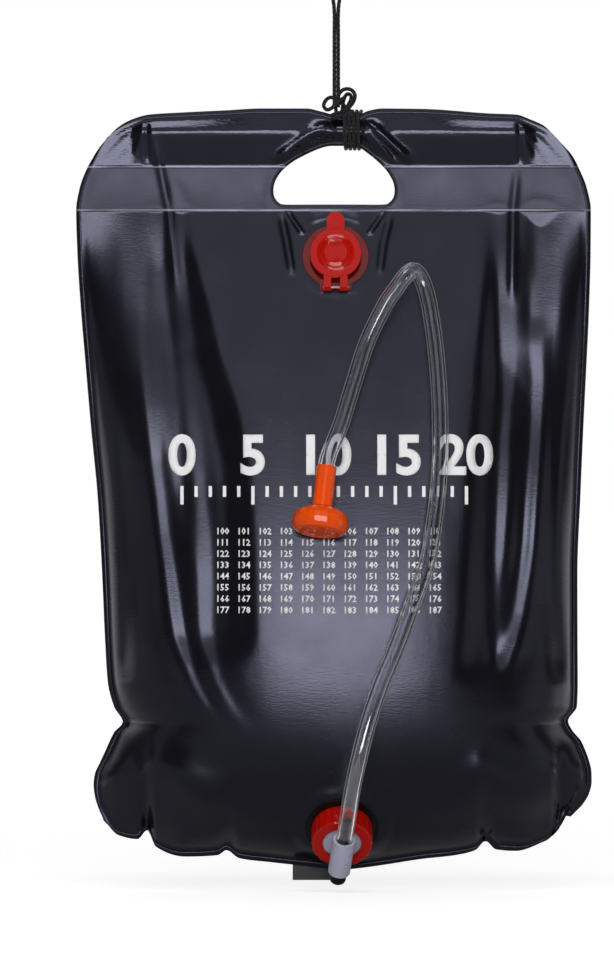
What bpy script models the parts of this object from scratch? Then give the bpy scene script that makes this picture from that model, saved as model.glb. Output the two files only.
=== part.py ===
"""Camp shower bag, hanging by its rope, as separate pieces in metres with +Z up.

The origin is the top of the rope's hanging loop, where a hook bears. The bag hangs below it with its
welded rim in the plane y = 0, and its front, with the fill valve and the outlet, faces -Y.
"""

import math

import bmesh
import bpy
from mathutils import Matrix, Vector

MM = 0.001
GAP = 0.0003

# The two films
BAG_WIDTH = 0.405
BAG_HEIGHT = 0.599
BAG_DROP = 0.1412
FILM = 0.0005
WELD_MARGIN = 0.004
FRONT_BULGE = 0.080
BACK_BULGE = 0.058
BELLY_SHARE = 0.73
SLEEVE_WELD_DROP = 0.0457
BAND_WELD_DROP = 0.0797

# Side edges, from the upper corners down: share of the height, then inset of the left and right edge in mm
SIDE_POINTS = (
    (0.0380, 24.1, 26.8),
    (0.0475, 19.3, 21.3),
    (0.0572, 15.4, 16.2),
    (0.0668, 12.2, 12.6),
    (0.0763, 9.1, 9.9),
    (0.1040, 2.8, 3.2),
    (0.1330, 0.0, 0.0),
    (0.1900, 1.0, 0.2),
    (0.2600, 3.6, 1.4),
    (0.3350, 7.4, 3.4),
    (0.4200, 11.8, 5.9),
    (0.5100, 16.9, 8.3),
    (0.6100, 20.4, 10.6),
    (0.7050, 23.0, 10.4),
    (0.7550, 25.0, 10.3),
    (0.7876, 30.0, 11.0),
    (0.8074, 36.7, 18.0),
    (0.8206, 30.0, 14.5),
    (0.8338, 26.0, 8.0),
    (0.8470, 22.5, 4.5),
    (0.8615, 18.5, 1.5),
    (0.8760, 14.6, -0.4),
    (0.8905, 13.6, -1.0),
    (0.9050, 14.6, -0.6),
    (0.9210, 17.5, 2.5),
    (0.9367, 21.7, 6.9),
)
LIFT_START_SHARE = 0.7550

# Bottom edge, from left to right: share of the width there, then height above the lowest point in mm
BOTTOM_POINTS = (
    (0.000, 37.9),
    (0.029, 26.8),
    (0.069, 23.7),
    (0.090, 30.8),
    (0.107, 17.8),
    (0.170, 9.9),
    (0.237, 11.0),
    (0.256, 15.0),
    (0.282, 8.7),
    (0.349, 5.5),
    (0.425, 2.4),
    (0.476, 0.4),
    (0.510, 0.0),
    (0.544, 1.2),
    (0.588, 3.5),
    (0.664, 7.9),
    (0.737, 11.0),
    (0.779, 15.0),
    (0.799, 22.1),
    (0.822, 15.4),
    (0.863, 14.2),
    (0.916, 20.5),
    (0.940, 26.5),
    (0.953, 31.0),
    (0.968, 39.5),
    (0.984, 40.5),
    (1.000, 37.9),
)

# Top edge, from left to right: share of the width there, then drop below the highest point in mm
TOP_POINTS = (
    (0.000, 22.9),
    (0.022, 15.0),
    (0.053, 8.7),
    (0.093, 4.7),
    (0.160, 3.2),
    (0.270, 1.3),
    (0.340, 0.0),
    (0.443, 0.0),
    (0.476, 2.4),
    (0.510, 5.1),
    (0.557, 5.5),
    (0.580, 2.0),
    (0.612, 0.0),
    (0.700, 0.3),
    (0.855, 3.9),
    (0.911, 4.7),
    (0.944, 8.7),
    (0.973, 13.4),
    (1.000, 22.9),
)

# Carrying hole: an elliptic arch over a straight bottom edge with round corners
HOLE_X = 0.0004
HOLE_WIDTH = 0.096
HOLE_ARCH = 0.033
HOLE_SILL = 0.013
HOLE_CORNER = 0.010
HOLE_TOP_DROP = 0.0297

# Spreader rod in the top sleeve
ROD_DIAMETER = 0.008
ROD_END_INSET = 0.056
ROD_DROP = 0.0173
SLEEVE_FLAT = 0.0082
SLEEVE_FADE = 0.0035
SLEEVE_EASE = 0.0007
SEAT_DEPTH = 0.007

# Fill valve
FILL_X = 0.0016
FILL_DROP = 0.1167
FILL_TILT = math.radians(17)
FILL_FLANGE_RADIUS = 0.0265
FILL_FLANGE_THICK = 0.0016
FILL_BORE_RADIUS = 0.012
FILL_NECK_WALL = 0.003
FILL_NECK_HEIGHT = 0.0055
FILL_EDGE = 0.0006
FILL_SKIRT = 0.002
FILL_SEAT_REACH = 0.075
CAP_RADIUS = 0.0205
CAP_THICK = 0.0022
CAP_DOME_RADIUS = 0.0126
CAP_DOME_HEIGHT = 0.0028
CAP_GROOVE_WIDTH = 0.0024
CAP_GROOVE_DEPTH = 0.0004
CAP_EDGE = 0.0006
CAP_RECESS = 0.0002
DOME_STEPS = 4
PLUG_CLEARANCE = 0.0004
PLUG_DEPTH = 0.005
PLUG_DRAFT = 0.0006
PLUG_WALL = 0.0015
TAB_WIDTH = 0.014
TAB_REACH = 0.0136
TAB_THICK = 0.0018
TAB_BITE = 0.004
TAB_LIFT = 0.0001
HINGE_REACH = 0.0273
HINGE_BAR_RADIUS = 0.0013
HINGE_BAR_HEIGHT = 0.005
HINGE_CLEARANCE = 0.0003
KNUCKLE_WALL = 0.001
HOOK_WIDTH = 0.0064
HOOK_SPACING = 0.013
HOOK_THICK = 0.002
HOOK_SHOULDER = 0.0003
STRAP_DROP = 0.0003
STRAP_BITE = 0.0004
EAR_WIDTH = 0.0025
EAR_INWARD = 0.006
EAR_WALL = 0.0007
BAR_INSET = 0.0004

# Outlet
OUTLET_X = 0.0065
OUTLET_LIFT = 0.0352
OUTLET_TILT = math.radians(40)
OUTLET_FLANGE_RADIUS = 0.030
OUTLET_FLANGE_THICK = 0.002
OUTLET_FLAT_FADE = 0.011
OUTLET_EDGE = 0.0008
OUTLET_SKIRT = 0.004
OUTLET_SEAT_REACH = 0.070
SPUD_RADIUS = 0.019
SPUD_BORE_RADIUS = 0.015
SPUD_HEIGHT = 0.0117
WASHER_THICK = 0.002
WASHER_BORE_RADIUS = 0.010
OUTLET_DISC_THICK = 0.0025
NUT_RADIUS = 0.024
NUT_THREAD_CLEARANCE = 0.0005
NUT_LIP = 0.0025
NUT_LIP_RADIUS = 0.0152
NUT_KNURLS = 24
NUT_KNURL_DEPTH = 0.0007
NUT_CHAMFER = 0.0015
NUT_FOOT_CHAMFER = 0.0005
NUT_LIP_CHAMFER = 0.0006

# Cock: barrel, plug and barb, on an axis that lies across the outlet's axis
BARREL_RADIUS = 0.00875
BARREL_LEAN = math.radians(7)
BARREL_BELOW = 0.0195
BARREL_ABOVE = 0.014
BARREL_BORE_RADIUS = 0.0058
MOUTH_DEPTH = 0.006
STUB_RADIUS = 0.006
STUB_BORE_RADIUS = 0.0035
PORT_RADIUS = 0.0028
PLUG_TOP = 0.005
NUB_RADIUS = 0.0065
NUB_LENGTH = 0.012
NUB_ROUND = 0.00455
BARB_LENGTH = 0.027
BARB_RIDGES = 2
BARB_PITCH = 0.007
BARB_SLOPE = 0.004
BARB_STEP = 0.0005
BARB_RIDGE = 0.0006
BARB_BORE_RADIUS = 0.002
RING_WIRE = 0.00065
RING_GROOVE_HALF = 0.0011
PLUG_RING_DROP = 0.0125

# Hose
HOSE_RADIUS = 0.0065
HOSE_BORE_RADIUS = 0.0047
HOSE_SIDES_LEVEL = 3
HOSE_SIDES = 4 + 2 * HOSE_SIDES_LEVEL
HOSE_STEP = 0.030

# Shower head, from its neck's mouth down its own axis
HEAD_X = -0.0055
HEAD_Y = -0.0765
HEAD_DROP = 0.4235
HEAD_FORWARD = math.radians(15)
HEAD_ASIDE = math.radians(6.5)
NECK_RADIUS = 0.00785
NECK_LENGTH = 0.0327
NECK_MOUTH_DEPTH = 0.012
NECK_EDGE = 0.0004
NECK_TIP_DROP = 0.001
SPIGOT_RADIUS = 0.0062
SPIGOT_SLACK = 0.0005
SPIGOT_LIP = 0.001
SPIGOT_LIP_EDGE = 0.0005
SPIGOT_LIP_THICK = 0.002
HEAD_BORE_RADIUS = 0.0025
HEAD_RING_DROP = 0.0027
ROSE_RADIUS = 0.0223
ROSE_COLLAR_HEIGHT = 0.005
ROSE_FLARE_RADIUS = 0.0096
ROSE_FLARE_DROP = 0.0009
ROSE_SHOULDER_RADIUS = 0.0128
ROSE_SHOULDER_DROP = 0.0019
ROSE_DEPTH = 0.0205
ROSE_RIM_HEIGHT = 0.008
ROSE_FACE_RADIUS = 0.0165
ROSE_WALL = 0.0015
ROSE_EDGE = 0.0004
ROSE_BOWL_STEPS = 3
ROSE_SEAT_HEIGHT = 0.003
ROSE_CAVITY_RADIUS = 0.0196
ROSE_CAVITY_LOW = 0.0076
ROSE_CAVITY_HIGH = 0.009
ROSE_CREST_RADIUS = 0.0163
ROSE_CREST_HEIGHT = 0.013
ROSE_TRAVEL = 0.0055
ROSE_PLATE_THICK = 0.0016
ROSE_PLATE_RECESS = 0.0006
ROSE_PIP_RADIUS = 0.002
ROSE_PIP_REACH = 0.0015
ROSE_HOLE_RADIUS = 0.0007
ROSE_HOLE_RINGS = ((0.0045, 6), (0.0085, 9), (0.0125, 12))
ROSE_PLATE_SAG = 0.0012
ROSE_PLATE_SAG_SHARE = 0.55
SPIGOT_LENGTH = GAP + ROSE_COLLAR_HEIGHT + ROSE_TRAVEL + SPIGOT_SLACK

# Bottom tab, welded behind the bottom seam
TAB_STRIP_X = -0.017
TAB_STRIP_WIDTH = 0.0305
TAB_STRIP_DROP = 0.0095
TAB_STRIP_THICK = 0.001
TAB_STRIP_EDGE = 0.0003
TAB_WELD_SHARE = 0.7

# Rope
ROPE_RADIUS = 0.0015
ROPE_SPACING = 0.00345
TURNS = 4
TURNS_X = 0.0150
TURN_POINTS = 24
TURN_SQUARENESS = 2.6
TURN_CLEARANCE = 0.0009
TURN_DIP = 0.003
KNOT_SCALE = 0.0040
KNOT_DEPTH = 0.0028
KNOT_POINTS = 48
KNOT_X = 0.0045
STRAND_X = 0.0022
STRAND_DROP = 0.055
STRAND_EASE = 0.0001
STRAND_STEP = 0.008
LOOP_THROAT = 0.065

# Right side of the hanging loop, from its throat up: distance from its middle, and height
LOOP_POINTS = (
    (0.0030, -0.0530),
    (0.0075, -0.0380),
    (0.0130, -0.0235),
    (0.0140, -0.0140),
    (0.0101, -0.0025),
)

# How far tools that cut right through reach past what they cut
CUT_REACH = 0.02

parts = None
guides = None


def clear_scene():
    """Remove every object, so that the model starts from nothing."""
    for obj in list(bpy.data.objects):
        bpy.data.objects.remove(obj, do_unlink=True)


def add_collection(name):
    collection = bpy.data.collections.new(name)
    bpy.context.scene.collection.children.link(collection)
    return collection


def make_material(name, colour, roughness, alpha=1.0):
    """One moulded or extruded plastic finish."""
    material = bpy.data.materials.new(name)
    material.use_nodes = True
    shader = material.node_tree.nodes["Principled BSDF"]
    shader.inputs["Base Color"].default_value = (*colour, 1.0)
    shader.inputs["Roughness"].default_value = roughness
    shader.inputs["Metallic"].default_value = 0.0
    shader.inputs["Alpha"].default_value = alpha
    material.diffuse_color = (*colour, alpha)
    return material


def add_part(name, mesh, material, parent=None):
    obj = bpy.data.objects.new(name, mesh)
    obj.data.materials.append(material)
    parts.objects.link(obj)
    obj.parent = parent
    return obj


def add_frame(name, location, rotation=(0, 0, 0), parent=None):
    """An empty that stands for a piece's own axes."""
    frame = bpy.data.objects.new(name, None)
    frame.empty_display_size = 0.02
    frame.location = location
    frame.rotation_euler = rotation
    frame.parent = parent
    guides.objects.link(frame)
    return frame


def as_cutter(obj, parent=None):
    """Make an object a hidden tool for Boolean modifiers."""
    for collection in list(obj.users_collection):
        collection.objects.unlink(obj)
    guides.objects.link(obj)
    obj.hide_render = True
    obj.display_type = "WIRE"
    if parent is not None:
        obj.parent = parent
    return obj


def boolean(target, tool, operation):
    modifier = target.modifiers.new(operation.lower() + "_" + tool.name, "BOOLEAN")
    modifier.operation = operation
    modifier.object = tool
    modifier.solver = "EXACT"


def cylinder_mesh(name, radius, low, high, segments=32, axis="Z", x=0.0, y=0.0, top_radius=None):
    """A capped cylinder or cone between two heights along an axis."""
    bm = bmesh.new()
    bmesh.ops.create_cone(
        bm,
        cap_ends=True,
        segments=segments,
        radius1=radius,
        radius2=radius if top_radius is None else top_radius,
        depth=high - low,
    )
    bmesh.ops.translate(bm, verts=bm.verts, vec=(x, y, (low + high) / 2))
    if axis == "X":
        bmesh.ops.rotate(bm, verts=bm.verts, matrix=Matrix.Rotation(math.radians(90), 3, "Y"))
    if axis == "Y":
        bmesh.ops.rotate(bm, verts=bm.verts, matrix=Matrix.Rotation(math.radians(-90), 3, "X"))
    mesh = bpy.data.meshes.new(name)
    bm.to_mesh(mesh)
    bm.free()
    return mesh


def cylinder_tool(name, parent, *args, **kwargs):
    tool = bpy.data.objects.new(name, cylinder_mesh(name, *args, **kwargs))
    guides.objects.link(tool)
    return as_cutter(tool, parent)


def box_tool(name, parent, low, high):
    """A block between two corners, used to add to or cut a piece."""
    bm = bmesh.new()
    bmesh.ops.create_cube(bm, size=1.0)
    size = Vector(high) - Vector(low)
    centre = (Vector(high) + Vector(low)) / 2
    bmesh.ops.scale(bm, verts=bm.verts, vec=size)
    bmesh.ops.translate(bm, verts=bm.verts, vec=centre)
    mesh = bpy.data.meshes.new(name)
    bm.to_mesh(mesh)
    bm.free()
    tool = bpy.data.objects.new(name, mesh)
    guides.objects.link(tool)
    return as_cutter(tool, parent)


def profile_mesh(name, points, closed):
    """A profile of (radius, height) points for a Screw modifier, running down its outer side."""
    bm = bmesh.new()
    verts = [bm.verts.new((radius, 0.0, height)) for radius, height in points]
    for first, second in zip(verts, verts[1:]):
        bm.edges.new((first, second))
    if closed:
        bm.edges.new((verts[-1], verts[0]))
    mesh = bpy.data.meshes.new(name)
    bm.to_mesh(mesh)
    bm.free()
    return mesh


def turn_profile(obj, steps):
    screw = obj.modifiers.new("turned", "SCREW")
    screw.axis = "Z"
    screw.angle = math.tau
    screw.steps = steps
    screw.render_steps = steps
    screw.use_merge_vertices = True
    screw.merge_threshold = 0.00001
    screw.use_smooth_shade = True


def turned_part(name, points, closed, steps, material, parent):
    obj = add_part(name, profile_mesh(name, points, closed), material, parent)
    turn_profile(obj, steps)
    return obj


def turned_mesh(name, points, closed, steps):
    """A turned shape as a plain mesh, for a piece that is moved or reshaped after turning."""
    blank = bpy.data.objects.new(name, profile_mesh(name + "_profile", points, closed))
    guides.objects.link(blank)
    turn_profile(blank, steps)
    bpy.context.view_layer.update()
    evaluated = blank.evaluated_get(bpy.context.evaluated_depsgraph_get())
    mesh = bpy.data.meshes.new_from_object(evaluated)
    mesh.name = name
    bpy.data.objects.remove(blank, do_unlink=True)
    return mesh


def smooth(obj, angle=35):
    """Shade a round piece smooth and keep its edges crisp."""
    obj.data.shade_smooth()
    obj.data.set_sharp_from_angle(angle=math.radians(angle))


def interpolate(points, share, column=1):
    """Read a value between the points of an edge, at a share along it."""
    if share <= points[0][0]:
        return points[0][column]
    for first, second in zip(points, points[1:]):
        if share <= second[0]:
            part = (share - first[0]) / (second[0] - first[0])
            return first[column] + part * (second[column] - first[column])
    return points[-1][column]


def clamp(value, low=0.0, high=1.0):
    return max(low, min(high, value))


def side_edges(share):
    """Left and right edge of the film at a share of the bag's height."""
    left = -BAG_WIDTH / 2 + interpolate(SIDE_POINTS, share, 1) * MM
    right = BAG_WIDTH / 2 - interpolate(SIDE_POINTS, share, 2) * MM
    return left, right


def top_edge(x):
    """Height of the top hem above a place across the bag."""
    left, right = side_edges(SIDE_POINTS[0][0])
    return -BAG_DROP - interpolate(TOP_POINTS, (x - left) / (right - left)) * MM


def bottom_edge(x):
    """Height of the bottom seam below a place across the bag."""
    left, right = side_edges(SIDE_POINTS[-1][0])
    lift = interpolate(BOTTOM_POINTS, (x - left) / (right - left)) * MM
    return -BAG_DROP - BAG_HEIGHT + lift


def sleeve_depth(x, z):
    """How far the spreader rod holds the film off the seam plane in the top sleeve."""
    if z > top_edge(x) - WELD_MARGIN - GAP / 2:
        return 0.0
    room = ROD_DIAMETER / 2 + SLEEVE_EASE
    off_rod = abs(z + BAG_DROP + ROD_DROP)
    along = clamp((SLEEVE_FLAT + SLEEVE_FADE - off_rod) / SLEEVE_FADE)
    rod_end = BAG_WIDTH / 2 - ROD_END_INSET
    past_end = clamp((rod_end + 2 * ROD_DIAMETER - abs(x)) / ROD_DIAMETER)
    return room * along * past_end


def chamber_depth(x, z, bulge):
    """How far the water pushes the film off the seam plane, below the lower weld."""
    weld = -BAG_DROP - BAND_WELD_DROP
    seam = bottom_edge(x) + WELD_MARGIN
    down = clamp((weld - z) / (weld - seam))
    left, right = side_edges((-BAG_DROP - z) / BAG_HEIGHT)
    across = clamp(abs(2 * x - left - right) / (right - left - 2 * WELD_MARGIN))
    if down < BELLY_SHARE:
        rise = 1 - (1 - down / BELLY_SHARE) ** 1.6
    else:
        rise = (1 - ((down - BELLY_SHARE) / (1 - BELLY_SHARE)) ** 2.5) ** 0.7
    return bulge * rise * (1 - across ** 2.4) ** 0.6


def outlet_height():
    return -BAG_DROP - BAG_HEIGHT + OUTLET_LIFT


def front_depth(x, z):
    """Depth of the front film, drawn flat by the stiff outlet flange where that is welded on."""
    if z > -BAG_DROP - BAND_WELD_DROP:
        return sleeve_depth(x, z)
    depth = chamber_depth(x, z, FRONT_BULGE)
    centre = outlet_height()
    across = x - OUTLET_X
    along = (z - centre) / math.cos(OUTLET_TILT)
    reach = math.hypot(across, along)
    flat = clamp((OUTLET_FLANGE_RADIUS + OUTLET_FLAT_FADE - reach) / OUTLET_FLAT_FADE)
    plane = chamber_depth(OUTLET_X, centre, FRONT_BULGE) + (z - centre) * math.tan(OUTLET_TILT)
    return depth + flat * (plane - depth)


def back_depth(x, z):
    if z > -BAG_DROP - BAND_WELD_DROP:
        return sleeve_depth(x, z)
    return chamber_depth(x, z, BACK_BULGE)


def film_rows():
    """Shares of the height at which the film's mesh has a row, with one at each weld margin."""
    shares = [point[0] for point in SIDE_POINTS]
    margin = WELD_MARGIN / BAG_HEIGHT
    return [shares[0], shares[0] + margin] + shares[1:-1] + [shares[-1] - margin, shares[-1]]


def film_columns():
    shares = [point[0] for point in BOTTOM_POINTS]
    margin = WELD_MARGIN / BAG_WIDTH
    return [shares[0], shares[0] + margin] + shares[1:-1] + [shares[-1] - margin, shares[-1]]


def film_point(row_share, column_share):
    """Place of a film vertex in the seam plane, between the four edges of the bag."""
    left, right = side_edges(row_share)
    x = left + (right - left) * column_share
    z = -BAG_DROP - row_share * BAG_HEIGHT
    margin = WELD_MARGIN / BAG_HEIGHT
    first = SIDE_POINTS[0][0]
    last = SIDE_POINTS[-1][0]
    weld = SLEEVE_WELD_DROP / BAG_HEIGHT
    from_top = clamp(1 - (row_share - first - margin) / (weld - first - margin))
    from_bottom = clamp((row_share - LIFT_START_SHARE) / (last - margin - LIFT_START_SHARE))
    hem = -interpolate(TOP_POINTS, column_share) * MM + first * BAG_HEIGHT
    seam = interpolate(BOTTOM_POINTS, column_share) * MM - (1 - last) * BAG_HEIGHT
    return x, z + from_top * hem + from_bottom * seam


def film_mesh(name, depth_at, side, near=None, reach=0.0):
    """A grid laid over the bag's outline and pushed out to its depth, its normals pointing outwards."""
    rows = film_rows()
    columns = film_columns()
    bm = bmesh.new()
    bmesh.ops.create_grid(bm, x_segments=len(columns) - 1, y_segments=len(rows) - 1, size=1.0)
    for vert in bm.verts:
        column = round((side * vert.co.x + 1) / 2 * (len(columns) - 1))
        row = round((1 - vert.co.y) / 2 * (len(rows) - 1))
        x, z = film_point(rows[row], columns[column])
        vert.co = (x, -side * (GAP / 2 + depth_at(x, z)), z)
    bmesh.ops.triangulate(bm, faces=bm.faces, quad_method="FIXED")
    if near is not None:
        far = [vert for vert in bm.verts if (vert.co - near).length > reach]
        bmesh.ops.delete(bm, geom=far, context="VERTS")
    mesh = bpy.data.meshes.new(name)
    bm.to_mesh(mesh)
    bm.free()
    return mesh


def hole_tool():
    """The carrying hole's outline, extruded through both films."""
    half = HOLE_WIDTH / 2
    spring = -BAG_DROP - HOLE_TOP_DROP - HOLE_ARCH
    points = []
    for index in range(17):
        angle = math.pi * index / 16
        points.append((half * math.cos(angle), spring + HOLE_ARCH * math.sin(angle)))
    for side in (-1, 1):
        for index in range(5):
            turn = math.pi / 2 * index / 4
            angle = math.pi + turn if side < 0 else 1.5 * math.pi + turn
            x = side * (half - HOLE_CORNER) + HOLE_CORNER * math.cos(angle)
            z = spring - HOLE_SILL + HOLE_CORNER + HOLE_CORNER * math.sin(angle)
            points.append((x, z))
    curve = bpy.data.curves.new("hole_outline", "CURVE")
    curve.dimensions = "2D"
    curve.fill_mode = "BOTH"
    curve.extrude = CUT_REACH
    spline = curve.splines.new("POLY")
    spline.points.add(len(points) - 1)
    for point, (x, z) in zip(spline.points, points):
        point.co = (HOLE_X + x, z, 0.0, 1.0)
    spline.use_cyclic_u = True
    obj = bpy.data.objects.new("hole_outline", curve)
    obj.rotation_euler = (math.radians(90), 0, 0)
    guides.objects.link(obj)
    return as_cutter(meshed(obj, "hole_tool"))


def meshed(curve_obj, name):
    """Replace a curve object by its welded mesh."""
    bpy.context.view_layer.update()
    evaluated = curve_obj.evaluated_get(bpy.context.evaluated_depsgraph_get())
    mesh = bpy.data.meshes.new_from_object(evaluated)
    mesh.name = name
    bm = bmesh.new()
    bm.from_mesh(mesh)
    bmesh.ops.remove_doubles(bm, verts=bm.verts, dist=0.00001)
    bm.to_mesh(mesh)
    bm.free()
    obj = bpy.data.objects.new(name, mesh)
    obj.matrix_world = curve_obj.matrix_world
    guides.objects.link(obj)
    bpy.data.objects.remove(curve_obj, do_unlink=True)
    return obj


def make_film(name, depth_at, side, material):
    film = add_part(name, film_mesh(name, depth_at, side), material)
    solid = film.modifiers.new("film thickness", "SOLIDIFY")
    solid.thickness = FILM
    solid.offset = 1.0
    smooth(film, 50)
    return film


def film_seat(name, near, reach):
    """A block with the front film's outer face, to shape what is welded on that face."""
    seat = bpy.data.objects.new(name, film_mesh(name, front_depth, 1, near, reach))
    guides.objects.link(seat)
    above = FILM + GAP
    solid = seat.modifiers.new("film and gap", "SOLIDIFY")
    solid.thickness = above + SEAT_DEPTH
    solid.offset = (above - SEAT_DEPTH) / (above + SEAT_DEPTH)
    return as_cutter(seat)


def make_bag(black):
    front = make_film("front_panel", front_depth, 1, black)
    back = make_film("back_panel", back_depth, -1, black)
    hole = hole_tool()
    boolean(front, hole, "DIFFERENCE")
    boolean(back, hole, "DIFFERENCE")
    return front


def make_rod(material):
    rod_end = BAG_WIDTH / 2 - ROD_END_INSET
    mesh = cylinder_mesh("spreader_rod", ROD_DIAMETER / 2, -rod_end, rod_end, 16, "X")
    rod = add_part("spreader_rod", mesh, material)
    rod.location = (0, 0, -BAG_DROP - ROD_DROP)
    smooth(rod)


def make_fill_valve(front, red):
    """Flange with its neck, and the cap that clips on the flange's hinge bar."""
    height = -BAG_DROP - FILL_DROP
    place = Vector((FILL_X, -GAP / 2 - FILM - front_depth(FILL_X, height), height))
    frame = add_frame("fill_axes", place, (math.radians(90) - FILL_TILT, 0, 0))
    base_top = GAP + FILL_FLANGE_THICK
    neck_top = base_top + FILL_NECK_HEIGHT
    film_hole = cylinder_tool("fill_film_hole", frame, FILL_BORE_RADIUS, -CUT_REACH, CUT_REACH, 32)
    boolean(front, film_hole, "DIFFERENCE")
    make_fill_flange(frame, place, base_top, neck_top, red)
    make_fill_cap(frame, neck_top, red)


def make_fill_flange(frame, place, base_top, neck_top, red):
    neck = FILL_BORE_RADIUS + FILL_NECK_WALL
    flange = turned_part(
        "fill_flange",
        (
            (neck, neck_top),
            (neck, base_top + FILL_EDGE),
            (neck + FILL_EDGE, base_top),
            (FILL_FLANGE_RADIUS - FILL_EDGE, base_top),
            (FILL_FLANGE_RADIUS, base_top - FILL_EDGE),
            (FILL_FLANGE_RADIUS, -FILL_SKIRT),
            (FILL_BORE_RADIUS, -FILL_SKIRT),
            (FILL_BORE_RADIUS, neck_top),
        ),
        True,
        32,
        red,
        frame,
    )
    boolean(flange, film_seat("fill_seat", place, FILL_SEAT_REACH), "DIFFERENCE")
    ear_out = HOOK_SPACING / 2 + HOOK_WIDTH / 2 + GAP + EAR_WIDTH
    ear_in = ear_out - EAR_WIDTH
    ear_top = HINGE_BAR_HEIGHT + HINGE_BAR_RADIUS + EAR_WALL
    for name, low, high in (("left", -ear_out, -ear_in), ("right", ear_in, ear_out)):
        ear_low = (low, -HINGE_REACH - HINGE_BAR_RADIUS - EAR_WALL, 2 * GAP)
        ear_high = (high, -HINGE_REACH + EAR_INWARD, ear_top)
        boolean(flange, box_tool("hinge_ear_" + name, frame, ear_low, ear_high), "UNION")
    bar_end = ear_out - BAR_INSET
    bar = cylinder_tool("hinge_bar", frame, HINGE_BAR_RADIUS, -bar_end, bar_end, 12, "X")
    bar.location = (0, -HINGE_REACH, HINGE_BAR_HEIGHT)
    boolean(flange, bar, "UNION")
    smooth(flange)


def make_fill_cap(frame, neck_top, red):
    """The cap's origin lies on its hinge bar, so that it turns there."""
    hinge = add_frame("cap_hinge", (0, -HINGE_REACH, HINGE_BAR_HEIGHT), (0, 0, 0), frame)
    centre = HINGE_REACH
    lift = -HINGE_BAR_HEIGHT
    low = neck_top + GAP + lift
    high = low + CAP_THICK
    plug = FILL_BORE_RADIUS - PLUG_CLEARANCE
    dome = [(0.0, high + CAP_DOME_HEIGHT)]
    for index in range(1, DOME_STEPS + 1):
        angle = math.pi / 2 * index / DOME_STEPS
        dome.append((CAP_DOME_RADIUS * math.sin(angle), high + CAP_DOME_HEIGHT * math.cos(angle)))
    profile = dome + [
        (CAP_DOME_RADIUS + CAP_GROOVE_WIDTH / 2, high - CAP_GROOVE_DEPTH),
        (CAP_DOME_RADIUS + CAP_GROOVE_WIDTH, high),
        (CAP_RADIUS - CAP_EDGE, high),
        (CAP_RADIUS, high - CAP_EDGE),
        (CAP_RADIUS, low + CAP_EDGE / 2),
        (CAP_RADIUS - CAP_EDGE / 2, low),
        (plug, low),
        (plug - PLUG_DRAFT, low - PLUG_DEPTH),
        (plug - PLUG_DRAFT - PLUG_WALL, low - PLUG_DEPTH),
        (plug - PLUG_WALL, low + CAP_RECESS),
        (0.0, low + CAP_RECESS),
    ]
    mesh = turned_mesh("fill_cap", profile, False, 28)
    mesh.transform(Matrix.Translation((0, centre, 0)))
    cap = add_part("fill_cap", mesh, red, hinge)
    tab_end = centre + CAP_RADIUS + TAB_REACH - TAB_WIDTH / 2
    tab_low = low + TAB_LIFT
    tab = box_tool(
        "cap_tab",
        hinge,
        (-TAB_WIDTH / 2, centre + CAP_RADIUS - TAB_BITE, tab_low),
        (TAB_WIDTH / 2, tab_end, tab_low + TAB_THICK),
    )
    boolean(cap, tab, "UNION")
    tip = cylinder_tool("cap_tab_tip", hinge, TAB_WIDTH / 2, tab_low, tab_low + TAB_THICK, 24)
    tip.location = (0, tab_end, 0)
    boolean(cap, tip, "UNION")
    knuckle = HINGE_BAR_RADIUS + HINGE_CLEARANCE + KNUCKLE_WALL
    for name, side in (("left", -1), ("right", 1)):
        middle = side * HOOK_SPACING / 2
        low_x = middle - HOOK_WIDTH / 2
        high_x = middle + HOOK_WIDTH / 2
        strap_top = high - STRAP_DROP
        strap_low = min(strap_top - HOOK_THICK, knuckle - STRAP_BITE)
        strap = box_tool(
            "cap_strap_" + name,
            hinge,
            (low_x + HOOK_SHOULDER, -knuckle / 2, strap_low),
            (high_x - HOOK_SHOULDER, centre - CAP_RADIUS + TAB_BITE, strap_top),
        )
        boolean(cap, strap, "UNION")
        hook = cylinder_tool("cap_hook_" + name, hinge, knuckle, low_x, high_x, 20, "X")
        boolean(cap, hook, "UNION")
    eye_radius = HINGE_BAR_RADIUS + HINGE_CLEARANCE
    eye = cylinder_tool("cap_hook_eye", hinge, eye_radius, -CUT_REACH, CUT_REACH, 12, "X")
    boolean(cap, eye, "DIFFERENCE")
    smooth(cap)


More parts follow.
